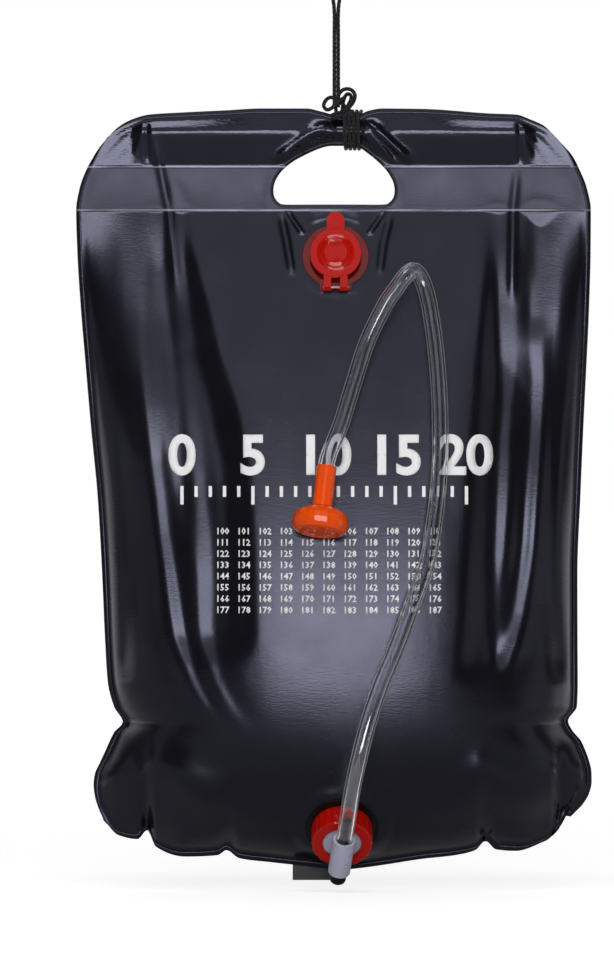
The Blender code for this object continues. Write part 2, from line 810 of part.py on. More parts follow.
def make_outlet(front, colours):
    """Flange and spud on the film, ring nut, washer, and the cock with its barb."""
    height = outlet_height()
    face = -GAP / 2 - FILM / math.cos(OUTLET_TILT) - front_depth(OUTLET_X, height)
    place = Vector((OUTLET_X, face, height))
    frame = add_frame("outlet_axes", place, (math.radians(90) + OUTLET_TILT, 0, 0))
    base_top = GAP + OUTLET_FLANGE_THICK
    spud_top = base_top + SPUD_HEIGHT
    washer_low = spud_top + GAP
    disc_low = washer_low + WASHER_THICK + GAP
    lip_low = disc_low + OUTLET_DISC_THICK + GAP
    film_hole = cylinder_tool("outlet_film_hole", frame, SPUD_BORE_RADIUS, -CUT_REACH, CUT_REACH, 32)
    boolean(front, film_hole, "DIFFERENCE")
    flange = turned_part(
        "outlet_flange",
        (
            (SPUD_RADIUS - OUTLET_EDGE, spud_top),
            (SPUD_RADIUS, spud_top - OUTLET_EDGE),
            (SPUD_RADIUS, base_top),
            (OUTLET_FLANGE_RADIUS - OUTLET_EDGE, base_top),
            (OUTLET_FLANGE_RADIUS, base_top - OUTLET_EDGE),
            (OUTLET_FLANGE_RADIUS, -OUTLET_SKIRT),
            (SPUD_BORE_RADIUS, -OUTLET_SKIRT),
            (SPUD_BORE_RADIUS, spud_top),
        ),
        True,
        32,
        colours["black"],
        frame,
    )
    boolean(flange, film_seat("outlet_seat", place, OUTLET_SEAT_REACH), "DIFFERENCE")
    smooth(flange)
    washer = turned_part(
        "outlet_washer",
        (
            (SPUD_RADIUS, washer_low + WASHER_THICK),
            (SPUD_RADIUS, washer_low),
            (WASHER_BORE_RADIUS, washer_low),
            (WASHER_BORE_RADIUS, washer_low + WASHER_THICK),
        ),
        True,
        24,
        colours["rubber"],
        frame,
    )
    smooth(washer)
    make_nut(frame, base_top + GAP, lip_low, colours["red"])
    axis_height = lip_low + NUT_LIP + 1.5 * GAP + BARREL_RADIUS
    cock = add_frame("cock_axes", (0, 0, axis_height), (0, 0, 0), frame)
    turn = Matrix.Rotation(-BARREL_LEAN, 4, "Z") @ Matrix.Rotation(math.radians(-90), 4, "X")
    cock.rotation_euler = turn.to_euler()
    make_cock(cock, axis_height - disc_low, colours)
    return cock


def make_nut(frame, low, lip_low, red):
    """Ring nut with a knurled outside; its thread is left smooth."""
    bore = SPUD_RADIUS + NUT_THREAD_CLEARANCE
    high = lip_low + NUT_LIP
    mesh = turned_mesh(
        "outlet_nut",
        (
            (NUT_LIP_RADIUS + NUT_LIP_CHAMFER, high),
            (NUT_RADIUS - NUT_CHAMFER, high),
            (NUT_RADIUS, high - NUT_CHAMFER),
            (NUT_RADIUS, low + NUT_FOOT_CHAMFER),
            (NUT_RADIUS - NUT_FOOT_CHAMFER, low),
            (bore, low),
            (bore, lip_low),
            (NUT_LIP_RADIUS, lip_low),
            (NUT_LIP_RADIUS, high - NUT_LIP_CHAMFER),
        ),
        True,
        2 * NUT_KNURLS,
    )
    bm = bmesh.new()
    bm.from_mesh(mesh)
    for vert in bm.verts:
        radius = math.hypot(vert.co.x, vert.co.y)
        spoke = round(math.atan2(vert.co.y, vert.co.x) / math.tau * 2 * NUT_KNURLS)
        if radius > NUT_RADIUS - NUT_FOOT_CHAMFER / 2 and spoke % 2:
            vert.co.x *= 1 - NUT_KNURL_DEPTH / radius
            vert.co.y *= 1 - NUT_KNURL_DEPTH / radius
    bm.to_mesh(mesh)
    bm.free()
    nut = add_part("outlet_nut", mesh, red, frame)
    smooth(nut, 20)


def make_cock(cock, disc_reach, colours):
    """Barrel with its stub and disc, the plug that turns in it, the plug's ring, and the hose barb."""
    body = add_part(
        "outlet_body",
        cylinder_mesh("outlet_body", BARREL_RADIUS, -BARREL_BELOW, BARREL_ABOVE, 28),
        colours["white"],
        cock,
    )
    disc_low = disc_reach - OUTLET_DISC_THICK
    stub = cylinder_tool("stub", cock, STUB_RADIUS, 0.0, (disc_low + disc_reach) / 2, 24, "Y")
    boolean(body, stub, "UNION")
    boolean(body, cylinder_tool("outlet_disc", cock, SPUD_RADIUS, disc_low, disc_reach, 40, "Y"), "UNION")
    stub_bore = cylinder_tool("stub_bore", cock, STUB_BORE_RADIUS, 0.0, disc_reach + CUT_REACH, 16, "Y")
    boolean(body, stub_bore, "DIFFERENCE")
    past = BARREL_ABOVE + CUT_REACH
    barrel_bore = cylinder_tool("barrel_bore", cock, BARREL_BORE_RADIUS, -past, past, 24)
    boolean(body, barrel_bore, "DIFFERENCE")
    seat = BARREL_ABOVE - MOUTH_DEPTH
    boolean(body, cylinder_tool("barrel_mouth", cock, HOSE_RADIUS + GAP, seat, past, 32), "DIFFERENCE")
    smooth(body)
    make_plug(cock, colours)
    make_barb(cock, colours["black"])


def make_plug(cock, colours):
    fit = BARREL_BORE_RADIUS - GAP
    groove = fit - 2 * RING_WIRE
    ring_z = -PLUG_RING_DROP
    nub_top = -BARREL_BELOW - GAP
    nub_low = nub_top - NUB_LENGTH
    nub = []
    for index in range(DOME_STEPS):
        angle = math.pi / 2 * index / DOME_STEPS
        nub.append((NUB_RADIUS * math.cos(angle), nub_low + NUB_ROUND * (1 - math.sin(angle))))
    profile = [
        (0.0, PLUG_TOP),
        (fit, PLUG_TOP),
        (fit, ring_z + RING_GROOVE_HALF),
        (groove - GAP, ring_z + RING_GROOVE_HALF),
        (groove - GAP, ring_z - RING_GROOVE_HALF),
        (fit, ring_z - RING_GROOVE_HALF),
        (fit, nub_top),
        (NUB_RADIUS, nub_top),
    ] + nub + [(0.0, nub_low)]
    plug = turned_part("outlet_plug", profile, False, 20, colours["black"], cock)
    bore = cylinder_tool("plug_bore", cock, PORT_RADIUS, 0.0, PLUG_TOP + CUT_REACH, 12)
    boolean(plug, bore, "DIFFERENCE")
    port = cylinder_tool("plug_port", cock, PORT_RADIUS, 0.0, CUT_REACH, 12, "Y")
    boolean(plug, port, "DIFFERENCE")
    smooth(plug)
    centre = (BARREL_BORE_RADIUS + groove - GAP) / 2
    bpy.ops.mesh.primitive_torus_add(
        major_radius=centre,
        minor_radius=RING_WIRE,
        major_segments=16,
        minor_segments=5,
        location=(0, 0, 0),
    )
    ring = bpy.context.object
    adopt(ring, "plug_ring", colours["rubber"], cock)
    ring.location = (0, 0, ring_z)


def adopt(obj, name, material, parent):
    """Take a primitive into the parts collection under its own name."""
    for collection in list(obj.users_collection):
        collection.objects.unlink(obj)
    parts.objects.link(obj)
    obj.name = name
    obj.data.name = name
    obj.data.materials.append(material)
    obj.parent = parent
    smooth(obj)


def hose_fit():
    """Radius of what stands inside the hose, clear of the flats of its bore."""
    return HOSE_BORE_RADIUS * math.cos(math.pi / HOSE_SIDES) - GAP


def make_barb(cock, black):
    """Hose barb, pressed into the barrel's mouth, with two ridges that hold the hose."""
    seat = BARREL_ABOVE - MOUTH_DEPTH
    tube = hose_fit()
    top = seat + BARB_LENGTH
    profile = []
    for index in range(BARB_RIDGES):
        start = top - index * BARB_PITCH
        profile += [
            (tube - BARB_RIDGE, start),
            (tube, start - BARB_SLOPE),
            (tube - BARB_RIDGE, start - BARB_SLOPE - BARB_STEP),
        ]
    profile += [
        (tube - BARB_RIDGE, seat + BARB_STEP),
        (BARREL_BORE_RADIUS - GAP, seat),
        (BARREL_BORE_RADIUS - GAP, PLUG_TOP + GAP),
        (BARB_BORE_RADIUS, PLUG_TOP + GAP),
        (BARB_BORE_RADIUS, top),
    ]
    barb = turned_part("outlet_barb", profile, True, 20, black, cock)
    smooth(barb)


def make_head(colours):
    """Shower head: the neck on the hose, and the rose that is pulled down its spigot to open it."""
    head = add_frame("head_axes", (HEAD_X, HEAD_Y, -HEAD_DROP), (-HEAD_FORWARD, HEAD_ASIDE, 0))
    mouth = HOSE_RADIUS + GAP
    tube = hose_fit()
    spigot_low = -NECK_LENGTH - SPIGOT_LENGTH
    ring_z = -NECK_LENGTH - HEAD_RING_DROP
    groove = SPIGOT_RADIUS - 2 * RING_WIRE
    profile = [
        (NECK_RADIUS, 0.0),
        (NECK_RADIUS, -NECK_LENGTH + NECK_EDGE),
        (NECK_RADIUS - NECK_EDGE, -NECK_LENGTH),
        (SPIGOT_RADIUS, -NECK_LENGTH),
        (SPIGOT_RADIUS, ring_z + RING_GROOVE_HALF),
        (groove, ring_z + RING_GROOVE_HALF),
        (groove, ring_z - RING_GROOVE_HALF),
        (SPIGOT_RADIUS, ring_z - RING_GROOVE_HALF),
        (SPIGOT_RADIUS, spigot_low),
        (SPIGOT_RADIUS + SPIGOT_LIP, spigot_low - SPIGOT_LIP_EDGE),
        (SPIGOT_RADIUS + SPIGOT_LIP, spigot_low - SPIGOT_LIP_THICK),
        (HEAD_BORE_RADIUS, spigot_low - SPIGOT_LIP_THICK),
        (HEAD_BORE_RADIUS, -NECK_TIP_DROP),
        (tube, -NECK_TIP_DROP),
        (tube, -NECK_MOUTH_DEPTH),
        (mouth, -NECK_MOUTH_DEPTH),
        (mouth, 0.0),
    ]
    stem = turned_part("head_stem", profile, True, 22, colours["orange"], head)
    smooth(stem)
    bore = SPIGOT_RADIUS + GAP
    bpy.ops.mesh.primitive_torus_add(
        major_radius=(bore + groove) / 2,
        minor_radius=(bore - groove) / 2 - GAP,
        major_segments=16,
        minor_segments=5,
        location=(0, 0, 0),
    )
    ring = bpy.context.object
    adopt(ring, "stem_ring", colours["rubber"], head)
    ring.location = (0, 0, ring_z)
    make_rose(head, bore, spigot_low - SPIGOT_LIP_THICK, colours)
    return head


def make_rose(head, bore, spigot_end, colours):
    top = -NECK_LENGTH - GAP
    low = top - ROSE_DEPTH
    collar_low = top - ROSE_COLLAR_HEIGHT
    shoulder = top - ROSE_SHOULDER_DROP
    fall = shoulder - low - ROSE_RIM_HEIGHT
    outer = [
        (bore + ROSE_EDGE, top),
        (NECK_RADIUS + ROSE_EDGE, top),
        (ROSE_FLARE_RADIUS, top - ROSE_FLARE_DROP),
        (ROSE_SHOULDER_RADIUS, shoulder),
    ]
    for index in range(1, DOME_STEPS + 1):
        angle = math.pi / 2 * index / DOME_STEPS
        radius = ROSE_SHOULDER_RADIUS + (ROSE_RADIUS - ROSE_SHOULDER_RADIUS) * math.sin(angle)
        outer.append((radius, shoulder - fall * (1 - math.cos(angle))))
    for index in range(1, ROSE_BOWL_STEPS + 1):
        angle = math.pi / 2 * index / ROSE_BOWL_STEPS
        radius = ROSE_FACE_RADIUS + (ROSE_RADIUS - ROSE_FACE_RADIUS) * math.cos(angle)
        outer.append((radius, low + ROSE_RIM_HEIGHT * (1 - math.sin(angle))))
    inside = ROSE_FACE_RADIUS - ROSE_WALL
    inner = [
        (inside, low),
        (inside, low + ROSE_SEAT_HEIGHT),
        (ROSE_CAVITY_RADIUS, low + ROSE_CAVITY_LOW),
        (ROSE_CAVITY_RADIUS, low + ROSE_CAVITY_HIGH),
        (ROSE_CREST_RADIUS, low + ROSE_CREST_HEIGHT),
        (bore + SPIGOT_LIP + 3 * ROSE_EDGE, collar_low),
        (bore, collar_low),
        (bore, top - ROSE_EDGE),
    ]
    rose = turned_part("rose_body", outer + inner, True, 28, colours["orange"], head)
    smooth(rose)
    plate_radius = inside - GAP
    plate_top = low + ROSE_PLATE_THICK + ROSE_PLATE_RECESS
    plate_low = plate_top - ROSE_PLATE_THICK - ROSE_PLATE_SAG
    pip_top = spigot_end + ROSE_PIP_REACH
    plate = turned_part(
        "rose_plate",
        (
            (0.0, pip_top),
            (ROSE_PIP_RADIUS - ROSE_EDGE, pip_top),
            (ROSE_PIP_RADIUS, pip_top - 2 * ROSE_EDGE),
            (ROSE_PIP_RADIUS, plate_top),
            (plate_radius, plate_top),
            (plate_radius, plate_top - ROSE_PLATE_THICK),
            (plate_radius * ROSE_PLATE_SAG_SHARE, plate_low + ROSE_PLATE_SAG / 4),
            (0.0, plate_low),
        ),
        False,
        28,
        colours["orange"],
        head,
    )
    bm = bmesh.new()
    for ring_radius, count in ROSE_HOLE_RINGS:
        for index in range(count):
            angle = math.tau * index / count
            place = Matrix.Translation(
                (ring_radius * math.cos(angle), ring_radius * math.sin(angle), plate_top)
            )
            bmesh.ops.create_cone(
                bm,
                cap_ends=True,
                segments=6,
                radius1=ROSE_HOLE_RADIUS,
                radius2=ROSE_HOLE_RADIUS,
                depth=4 * ROSE_PLATE_THICK,
                matrix=place,
            )
    mesh = bpy.data.meshes.new("rose_holes")
    bm.to_mesh(mesh)
    bm.free()
    holes = bpy.data.objects.new("rose_holes", mesh)
    guides.objects.link(holes)
    boolean(plate, as_cutter(holes, head), "DIFFERENCE")
    smooth(plate)


def smooth_route(points, step):
    """Places on a smooth curve through a route's own points, about one step apart."""
    route = [Vector(point) for point in points]
    result = [route[0]]
    for index in range(len(route) - 1):
        before = route[index - 1] if index else route[0] * 2 - route[1]
        after = route[index + 2] if index + 2 < len(route) else route[-1] * 2 - route[-2]
        start = route[index]
        end = route[index + 1]
        count = max(1, round((end - start).length / step))
        for part in range(1, count + 1):
            t = part / count
            result.append(
                0.5
                * (
                    2 * start
                    + (end - before) * t
                    + (2 * before - 5 * start + 4 * end - after) * t**2
                    + (3 * start - before - 3 * end + after) * t**3
                )
            )
    return result


def tube_object(name, points, radius, level, cyclic=False):
    """A round tube along a list of places, with filled ends."""
    curve = bpy.data.curves.new(name, "CURVE")
    curve.dimensions = "3D"
    curve.bevel_depth = radius
    curve.bevel_resolution = level
    curve.use_fill_caps = not cyclic
    spline = curve.splines.new("POLY")
    spline.points.add(len(points) - 1)
    for point, place in zip(spline.points, points):
        point.co = (*place, 1.0)
    spline.use_cyclic_u = cyclic
    obj = bpy.data.objects.new(name, curve)
    guides.objects.link(obj)
    return obj


# The hose's route between its two fittings, in metres
HOSE_ROUTE = (
    (0.0145, -0.1085, -0.6740),
    (0.0197, -0.1130, -0.6500),
    (0.0270, -0.1105, -0.6220),
    (0.0365, -0.1035, -0.5940),
    (0.0500, -0.0935, -0.5615),
    (0.0619, -0.0850, -0.5292),
    (0.0733, -0.0775, -0.4968),
    (0.0795, -0.0700, -0.4600),
    (0.0825, -0.0635, -0.4300),
    (0.0835, -0.0585, -0.4054),
    (0.0828, -0.0505, -0.3680),
    (0.0800, -0.0410, -0.3300),
    (0.0750, -0.0320, -0.2955),
    (0.0705, -0.0285, -0.2790),
    (0.0662, -0.0300, -0.2712),
    (0.0612, -0.0345, -0.2692),
    (0.0555, -0.0385, -0.2745),
    (0.0490, -0.0405, -0.2835),
    (0.0405, -0.0425, -0.2960),
    (0.0264, -0.0465, -0.3249),
    (0.0158, -0.0535, -0.3572),
    (0.0062, -0.0630, -0.3885),
)


def make_hose(cock, head, clear):
    """Clear hose with its bore, from the outlet's barb to the shower head's neck."""
    bpy.context.view_layer.update()
    start = cock.matrix_world @ Vector((0, 0, BARREL_ABOVE - MOUTH_DEPTH + GAP))
    leave = cock.matrix_world @ Vector((0, 0, BARREL_ABOVE - MOUTH_DEPTH + BARB_LENGTH + 4 * GAP))
    arrive = head.matrix_world @ Vector((0, 0, HOSE_RADIUS))
    end = head.matrix_world @ Vector((0, 0, -NECK_MOUTH_DEPTH + GAP))
    points = smooth_route([start, leave, *HOSE_ROUTE, arrive, end], HOSE_STEP)
    outer = meshed(tube_object("hose_outside", points, HOSE_RADIUS, HOSE_SIDES_LEVEL), "hose")
    before = start + (start - points[1]).normalized() * HOSE_RADIUS
    beyond = end + (end - points[-2]).normalized() * HOSE_RADIUS
    bore_points = [before, *points[1:-1], beyond]
    bore = meshed(tube_object("hose_inside", bore_points, HOSE_BORE_RADIUS, HOSE_SIDES_LEVEL), "hose_bore")
    as_cutter(bore)
    guides.objects.unlink(outer)
    parts.objects.link(outer)
    outer.data.materials.append(clear)
    boolean(outer, bore, "DIFFERENCE")
    smooth(outer)


def make_tab(black):
    """Flat strip welded behind the bottom seam's flat margin."""
    left = TAB_STRIP_X - TAB_STRIP_WIDTH / 2
    right = TAB_STRIP_X + TAB_STRIP_WIDTH / 2
    seam = min(bottom_edge(left), bottom_edge(right))
    near = GAP / 2 + FILM + GAP
    low = (left, near, seam - TAB_STRIP_DROP)
    high = (right, near + TAB_STRIP_THICK, seam + WELD_MARGIN * TAB_WELD_SHARE)
    block = box_tool("tab_block", None, low, high)
    tab = add_part("bottom_tab", block.data.copy(), black)
    bpy.data.objects.remove(block, do_unlink=True)
    bevel = tab.modifiers.new("round corners", "BEVEL")
    bevel.width = TAB_STRIP_EDGE
    bevel.segments = 1


def turn_points():
    """The rope's turns round the hem, through the carrying hole, as one unbroken route."""
    first = TURNS_X - ROPE_SPACING * TURNS / 2
    reach = [first + ROPE_SPACING * TURNS * share / 8 for share in range(9)]
    crest = max(top_edge(x) for x in reach) + ROPE_RADIUS + TURN_CLEARANCE
    sill = -BAG_DROP - HOLE_TOP_DROP
    lowest = sill - ROPE_RADIUS - TURN_CLEARANCE - TURN_DIP
    middle = (crest + lowest) / 2
    half_height = (crest - lowest) / 2
    half_depth = ROD_DIAMETER / 2 + SLEEVE_EASE + FILM + ROPE_RADIUS + TURN_CLEARANCE
    points = []
    for index in range(TURNS * TURN_POINTS + 1):
        angle = math.tau * index / TURN_POINTS
        sine = math.sin(angle)
        cosine = math.cos(angle)
        y = -half_depth * math.copysign(abs(sine) ** (2 / TURN_SQUARENESS), sine)
        z = middle + half_height * math.copysign(abs(cosine) ** (2 / TURN_SQUARENESS), cosine)
        points.append(Vector((first + ROPE_SPACING * index / TURN_POINTS, y, z)))
    return points, crest


def knot_points(crest):
    """The knot on top of the hem: a closed overhand (trefoil) lead of the rope, facing the front."""
    points = []
    for index in range(KNOT_POINTS):
        t = math.tau * index / KNOT_POINTS
        across = KNOT_SCALE * (math.sin(t) + 2 * math.sin(2 * t))
        up = -KNOT_SCALE * (math.cos(t) - 2 * math.cos(2 * t))
        points.append(Vector((KNOT_X + across, -KNOT_DEPTH * math.sin(3 * t), up)))
    lowest = min(point.z for point in points)
    lift = crest + 2 * ROPE_RADIUS + GAP - lowest
    return [point + Vector((0, 0, lift)) for point in points]


def make_rope(braid):
    """Turns, knot, and the doubled strand that goes up to the hook."""
    turns, crest = turn_points()
    winding = tube_object("rope_winding", turns, ROPE_RADIUS, 1)
    knot = knot_points(crest)
    tied = tube_object("rope_knot", knot, ROPE_RADIUS, 1, True)
    top = max(point.z for point in knot)
    hanger = hanger_points(top + 2 * GAP + ROPE_RADIUS)
    strand = tube_object("rope_hanger", hanger, ROPE_RADIUS, 2)
    for obj in (winding, tied, strand):
        guides.objects.unlink(obj)
        parts.objects.link(obj)
        obj.data.materials.append(braid)


def hanger_points(low):
    """Up one strand, round the loop that hangs on the hook, and down the other."""
    half = ROPE_SPACING / 2 + STRAND_EASE
    side = [(half, low + (-LOOP_THROAT - low) * share) for share in (0.0, 0.25, 0.5, 1.0)]
    side += list(LOOP_POINTS)
    crown = [(0.0, ROPE_RADIUS)]
    mirrored = [(-x, z) for x, z in reversed(side)]
    route = [(strand_lean(z) + x, 0.0, z) for x, z in side + crown + mirrored]
    return smooth_route(route, STRAND_STEP)


def strand_lean(z):
    """The strands hang a little to one side of the hook, above the knot."""
    return STRAND_X * clamp(-z / STRAND_DROP)


def build():
    global parts, guides
    clear_scene()
    parts = add_collection("camp_shower_bag")
    guides = add_collection("guides")
    colours = {
        "black": make_material("black_pvc", (0.012, 0.012, 0.016), 0.38),
        "rod": make_material("rod_plastic", (0.35, 0.35, 0.36), 0.5),
        "red": make_material("red_polyethylene", (0.55, 0.02, 0.015), 0.3),
        "white": make_material("milky_polypropylene", (0.72, 0.74, 0.78), 0.35, 0.8),
        "rubber": make_material("rubber", (0.02, 0.02, 0.02), 0.7),
        "clear": make_material("clear_pvc", (0.75, 0.78, 0.82), 0.1, 0.35),
        "orange": make_material("orange_plastic", (0.85, 0.14, 0.02), 0.3),
        "braid": make_material("black_braid", (0.015, 0.015, 0.015), 0.8),
    }
    front = make_bag(colours["black"])
    make_rod(colours["rod"])
    make_fill_valve(front, colours["red"])
    cock = make_outlet(front, colours)
    head = make_head(colours)
    make_hose(cock, head, colours["clear"])
    make_tab(colours["black"])
    make_rope(colours["braid"])


build()
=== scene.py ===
import math

import bmesh
import bpy
import numpy as np
from mathutils import Matrix, Vector, noise


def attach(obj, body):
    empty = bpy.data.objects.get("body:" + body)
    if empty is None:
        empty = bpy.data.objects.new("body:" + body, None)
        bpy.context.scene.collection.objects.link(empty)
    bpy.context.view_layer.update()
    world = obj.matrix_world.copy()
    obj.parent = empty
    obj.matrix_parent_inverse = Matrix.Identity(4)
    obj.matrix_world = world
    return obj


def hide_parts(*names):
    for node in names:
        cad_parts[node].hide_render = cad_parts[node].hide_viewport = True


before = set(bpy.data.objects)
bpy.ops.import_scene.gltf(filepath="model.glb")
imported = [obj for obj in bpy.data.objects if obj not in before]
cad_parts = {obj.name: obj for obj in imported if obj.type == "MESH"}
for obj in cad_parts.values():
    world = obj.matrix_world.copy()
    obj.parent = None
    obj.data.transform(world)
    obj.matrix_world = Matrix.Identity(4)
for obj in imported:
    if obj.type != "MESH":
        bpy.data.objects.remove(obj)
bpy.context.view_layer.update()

# The camera stands level in front of the hanging bag, 8 m off, with a long lens, so that what stands forward
# isn't enlarged. The view takes in the bag and most of its rope, and cuts the rope below its hanging loop.
camera_distance = 8.0
view_height = 0.7539
view_centre = (-0.0209, -0.4322)
camera_data = bpy.data.cameras.new("camera")
camera_data.sensor_width = 36.0
camera_data.lens = 36.0 * camera_distance / view_height
camera = bpy.data.objects.new("camera", camera_data)
camera.location = (view_centre[0], -camera_distance, view_centre[1])
camera.rotation_euler = (math.radians(90), 0.0, 0.0)
bpy.context.scene.collection.objects.link(camera)
bpy.context.scene.camera = camera

# Hose: soft clear PVC tube, 13 mm outside and 9.4 mm inside. It is pushed over the outlet's barb, goes up in
# front of the bag, folds over beside the fill valve and hangs down to the shower head.
hose_radius = 0.0065
hose_bore_radius = 0.0047
hose_sides = 28
# Where the tube ends on the outlet's barb and in the shower head, and the next place along each of them
hose_start = Vector((0.007512, -0.076959, -0.718680))
hose_leave = Vector((0.010912, -0.094760, -0.697467))
hose_arrive = Vector((-0.004789, -0.074818, -0.417262))
hose_end = Vector((-0.006779, -0.079528, -0.434729))
hose_route = (
    (0.0145, -0.1085, -0.6740), (0.0197, -0.1130, -0.6500), (0.0270, -0.1105, -0.6220),
    (0.0365, -0.1035, -0.5940), (0.0500, -0.0935, -0.5615), (0.0619, -0.0850, -0.5292),
    (0.0733, -0.0775, -0.4968), (0.0795, -0.0700, -0.4600), (0.0825, -0.0635, -0.4300),
    (0.0835, -0.0585, -0.4054), (0.0828, -0.0505, -0.3680), (0.0800, -0.0410, -0.3300),
    (0.0750, -0.0320, -0.2955), (0.0705, -0.0285, -0.2790), (0.0662, -0.0300, -0.2712),
    (0.0612, -0.0345, -0.2692), (0.0555, -0.0385, -0.2745), (0.0490, -0.0405, -0.2835),
    (0.0405, -0.0425, -0.2960), (0.0264, -0.0465, -0.3249), (0.0158, -0.0535, -0.3572),
    (0.0062, -0.0630, -0.3885),
)


def add_piece(name, mesh, body, *materials):
    """Put a finished mesh in the scene as a piece that rides on a body."""
    piece = bpy.data.objects.new(name, mesh)
    bpy.context.scene.collection.objects.link(piece)
    for material in materials:
        mesh.materials.append(material)
    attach(piece, body)
    return piece


def curve_through(points, step):
    """Places on a smooth curve through a route's own points, about one step apart."""
    route = [Vector(point) for point in points]
    places = [route[0]]
    for index in range(len(route) - 1):
        before = route[index - 1] if index else route[0] * 2 - route[1]
        after = route[index + 2] if index + 2 < len(route) else route[-1] * 2 - route[-2]
        start, end = route[index], route[index + 1]
        count = max(1, round((end - start).length / step))
        for part in range(1, count + 1):
            t = part / count
            bend = (2 * before - 5 * start + 4 * end - after) * t**2
            twist = (3 * start - before - 3 * end + after) * t**3
            places.append(0.5 * (2 * start + (end - before) * t + bend + twist))
    return places


def frames_along(places):
    """A direction and two axes across it at each place of a line, turning as little as they can."""
    result = []
    for index in range(len(places)):
        direction = (places[min(index + 1, len(places) - 1)] - places[max(index - 1, 0)]).normalized()
        if not result:
            across = direction.orthogonal().normalized()
        across = (across - direction * across.dot(direction)).normalized()
        result.append((direction, across, direction.cross(across)))
    return result


def finished_mesh(name, bm):
    """Turn a mesh under construction into a finished one."""
    mesh = bpy.data.meshes.new(name)
    bm.to_mesh(mesh)
    bm.free()
    return mesh


def swept_mesh(name, places, sides, radius_at, capped=True):
    """A tube along a line; radius_at(distance along, angle round) gives its radius there."""
    bm = bmesh.new()
    uv_layer = bm.loops.layers.uv.new("along_and_round")
    along = [0.0]
    for first, second in zip(places, places[1:]):
        along.append(along[-1] + (second - first).length)
    rings = []
    for place, (direction, right, up), distance in zip(places, frames_along(places), along):
        ring = []
        for side in range(sides):
            angle = math.tau * side / sides
            radius = radius_at(distance, angle)
            ring.append(bm.verts.new(place + (right * math.cos(angle) + up * math.sin(angle)) * radius))
        rings.append(ring)
    for lower, upper, start, end in zip(rings, rings[1:], along, along[1:]):
        for side in range(sides):
            after = (side + 1) % sides
            face = bm.faces.new((lower[side], lower[after], upper[after], upper[side]))
            face.smooth = True
            corners = ((start, side), (start, side + 1), (end, side + 1), (end, side))
            for loop, (distance, turn) in zip(face.loops, corners):
                loop[uv_layer].uv = (distance * 10, turn / sides)
    if capped:
        bm.faces.new(list(reversed(rings[0])))
        bm.faces.new(rings[-1])
    return finished_mesh(name, bm)


hose_places = curve_through([hose_start, hose_leave, *hose_route, hose_arrive, hose_end], 0.004)
hose_mesh = swept_mesh("hose_tube", hose_places, hose_sides, lambda *spot: hose_radius, capped=False)
bore_mesh = swept_mesh("hose_bore", hose_places, hose_sides, lambda *spot: hose_bore_radius, capped=False)
bm = bmesh.new()
bm.from_mesh(bore_mesh)
bmesh.ops.reverse_faces(bm, faces=bm.faces)
bm.from_mesh(hose_mesh)
bm.verts.ensure_lookup_table()
inner_count = len(hose_places) * hose_sides
for first in (0, inner_count - hose_sides):
    for side in range(hose_sides):
        inner, after = first + side, first + (side + 1) % hose_sides
        corners = (inner, after, after + inner_count, inner + inner_count)
        bm.faces.new([bm.verts[corner] for corner in corners])
bmesh.ops.recalc_face_normals(bm, faces=bm.faces)
bm.to_mesh(hose_mesh)
bm.free()
bpy.data.meshes.remove(bore_mesh)


def plain_material(name, settings):
    """A new material, its node tree and its shader, whose sockets are set as given."""
    material = bpy.data.materials.new(name)
    material.use_nodes = True
    shader = material.node_tree.nodes["Principled BSDF"]
    for socket, value in settings.items():
        shader.inputs[socket].default_value = value
    return material, material.node_tree, shader


def add_axes(tree, source="Object"):
    """The three parts of a place in the object's own coordinates, or of a direction of the world."""
    coordinates = tree.nodes.new("ShaderNodeTexCoord")
    axes = tree.nodes.new("ShaderNodeSeparateXYZ")
    tree.links.new(coordinates.outputs[source], axes.inputs["Vector"])
    return axes.outputs


def add_noise(tree, scale, detail, stretch=None):
    """Noise on the object's own coordinates, stretched where a stretch is given."""
    spot = tree.nodes.new("ShaderNodeTexCoord").outputs["Object"]
    texture = tree.nodes.new("ShaderNodeTexNoise")
    texture.inputs["Scale"].default_value = scale
    texture.inputs["Detail"].default_value = detail
    if stretch:
        mapping = tree.nodes.new("ShaderNodeMapping")
        mapping.inputs["Scale"].default_value = stretch
        tree.links.new(spot, mapping.inputs["Vector"])
        spot = mapping.outputs["Vector"]
    tree.links.new(spot, texture.inputs["Vector"])
    return texture.outputs["Fac"]


def add_range(tree, value, low, high, from_low=0.3, from_high=0.7):
    """Spread a value over a range of roughness, mix or height."""
    node = tree.nodes.new("ShaderNodeMapRange")
    ends = {"From Min": from_low, "From Max": from_high, "To Min": low, "To Max": high}
    for name, end in ends.items():
        node.inputs[name].default_value = end
    tree.links.new(value, node.inputs["Value"])
    return node.outputs["Result"]


def add_mix(tree, factor, first, second):
    """Mix two colours, each a socket or a colour, by a value."""
    node = tree.nodes.new("ShaderNodeMix")
    node.data_type = "RGBA"
    for name, colour in (("A", first), ("B", second)):
        if isinstance(colour, tuple):
            node.inputs[name].default_value = (*colour, 1.0)
        else:
            tree.links.new(colour, node.inputs[name])
    tree.links.new(factor, node.inputs["Factor"])
    return node.outputs["Result"]


def add_math(tree, operation, first, second):
    """Arithmetic on two values, each a socket or a number."""
    node = tree.nodes.new("ShaderNodeMath")
    node.operation = operation
    for socket, value in zip(node.inputs, (first, second)):
        if isinstance(value, (int, float)):
            socket.default_value = value
        else:
            tree.links.new(value, socket)
    return node.outputs["Value"]


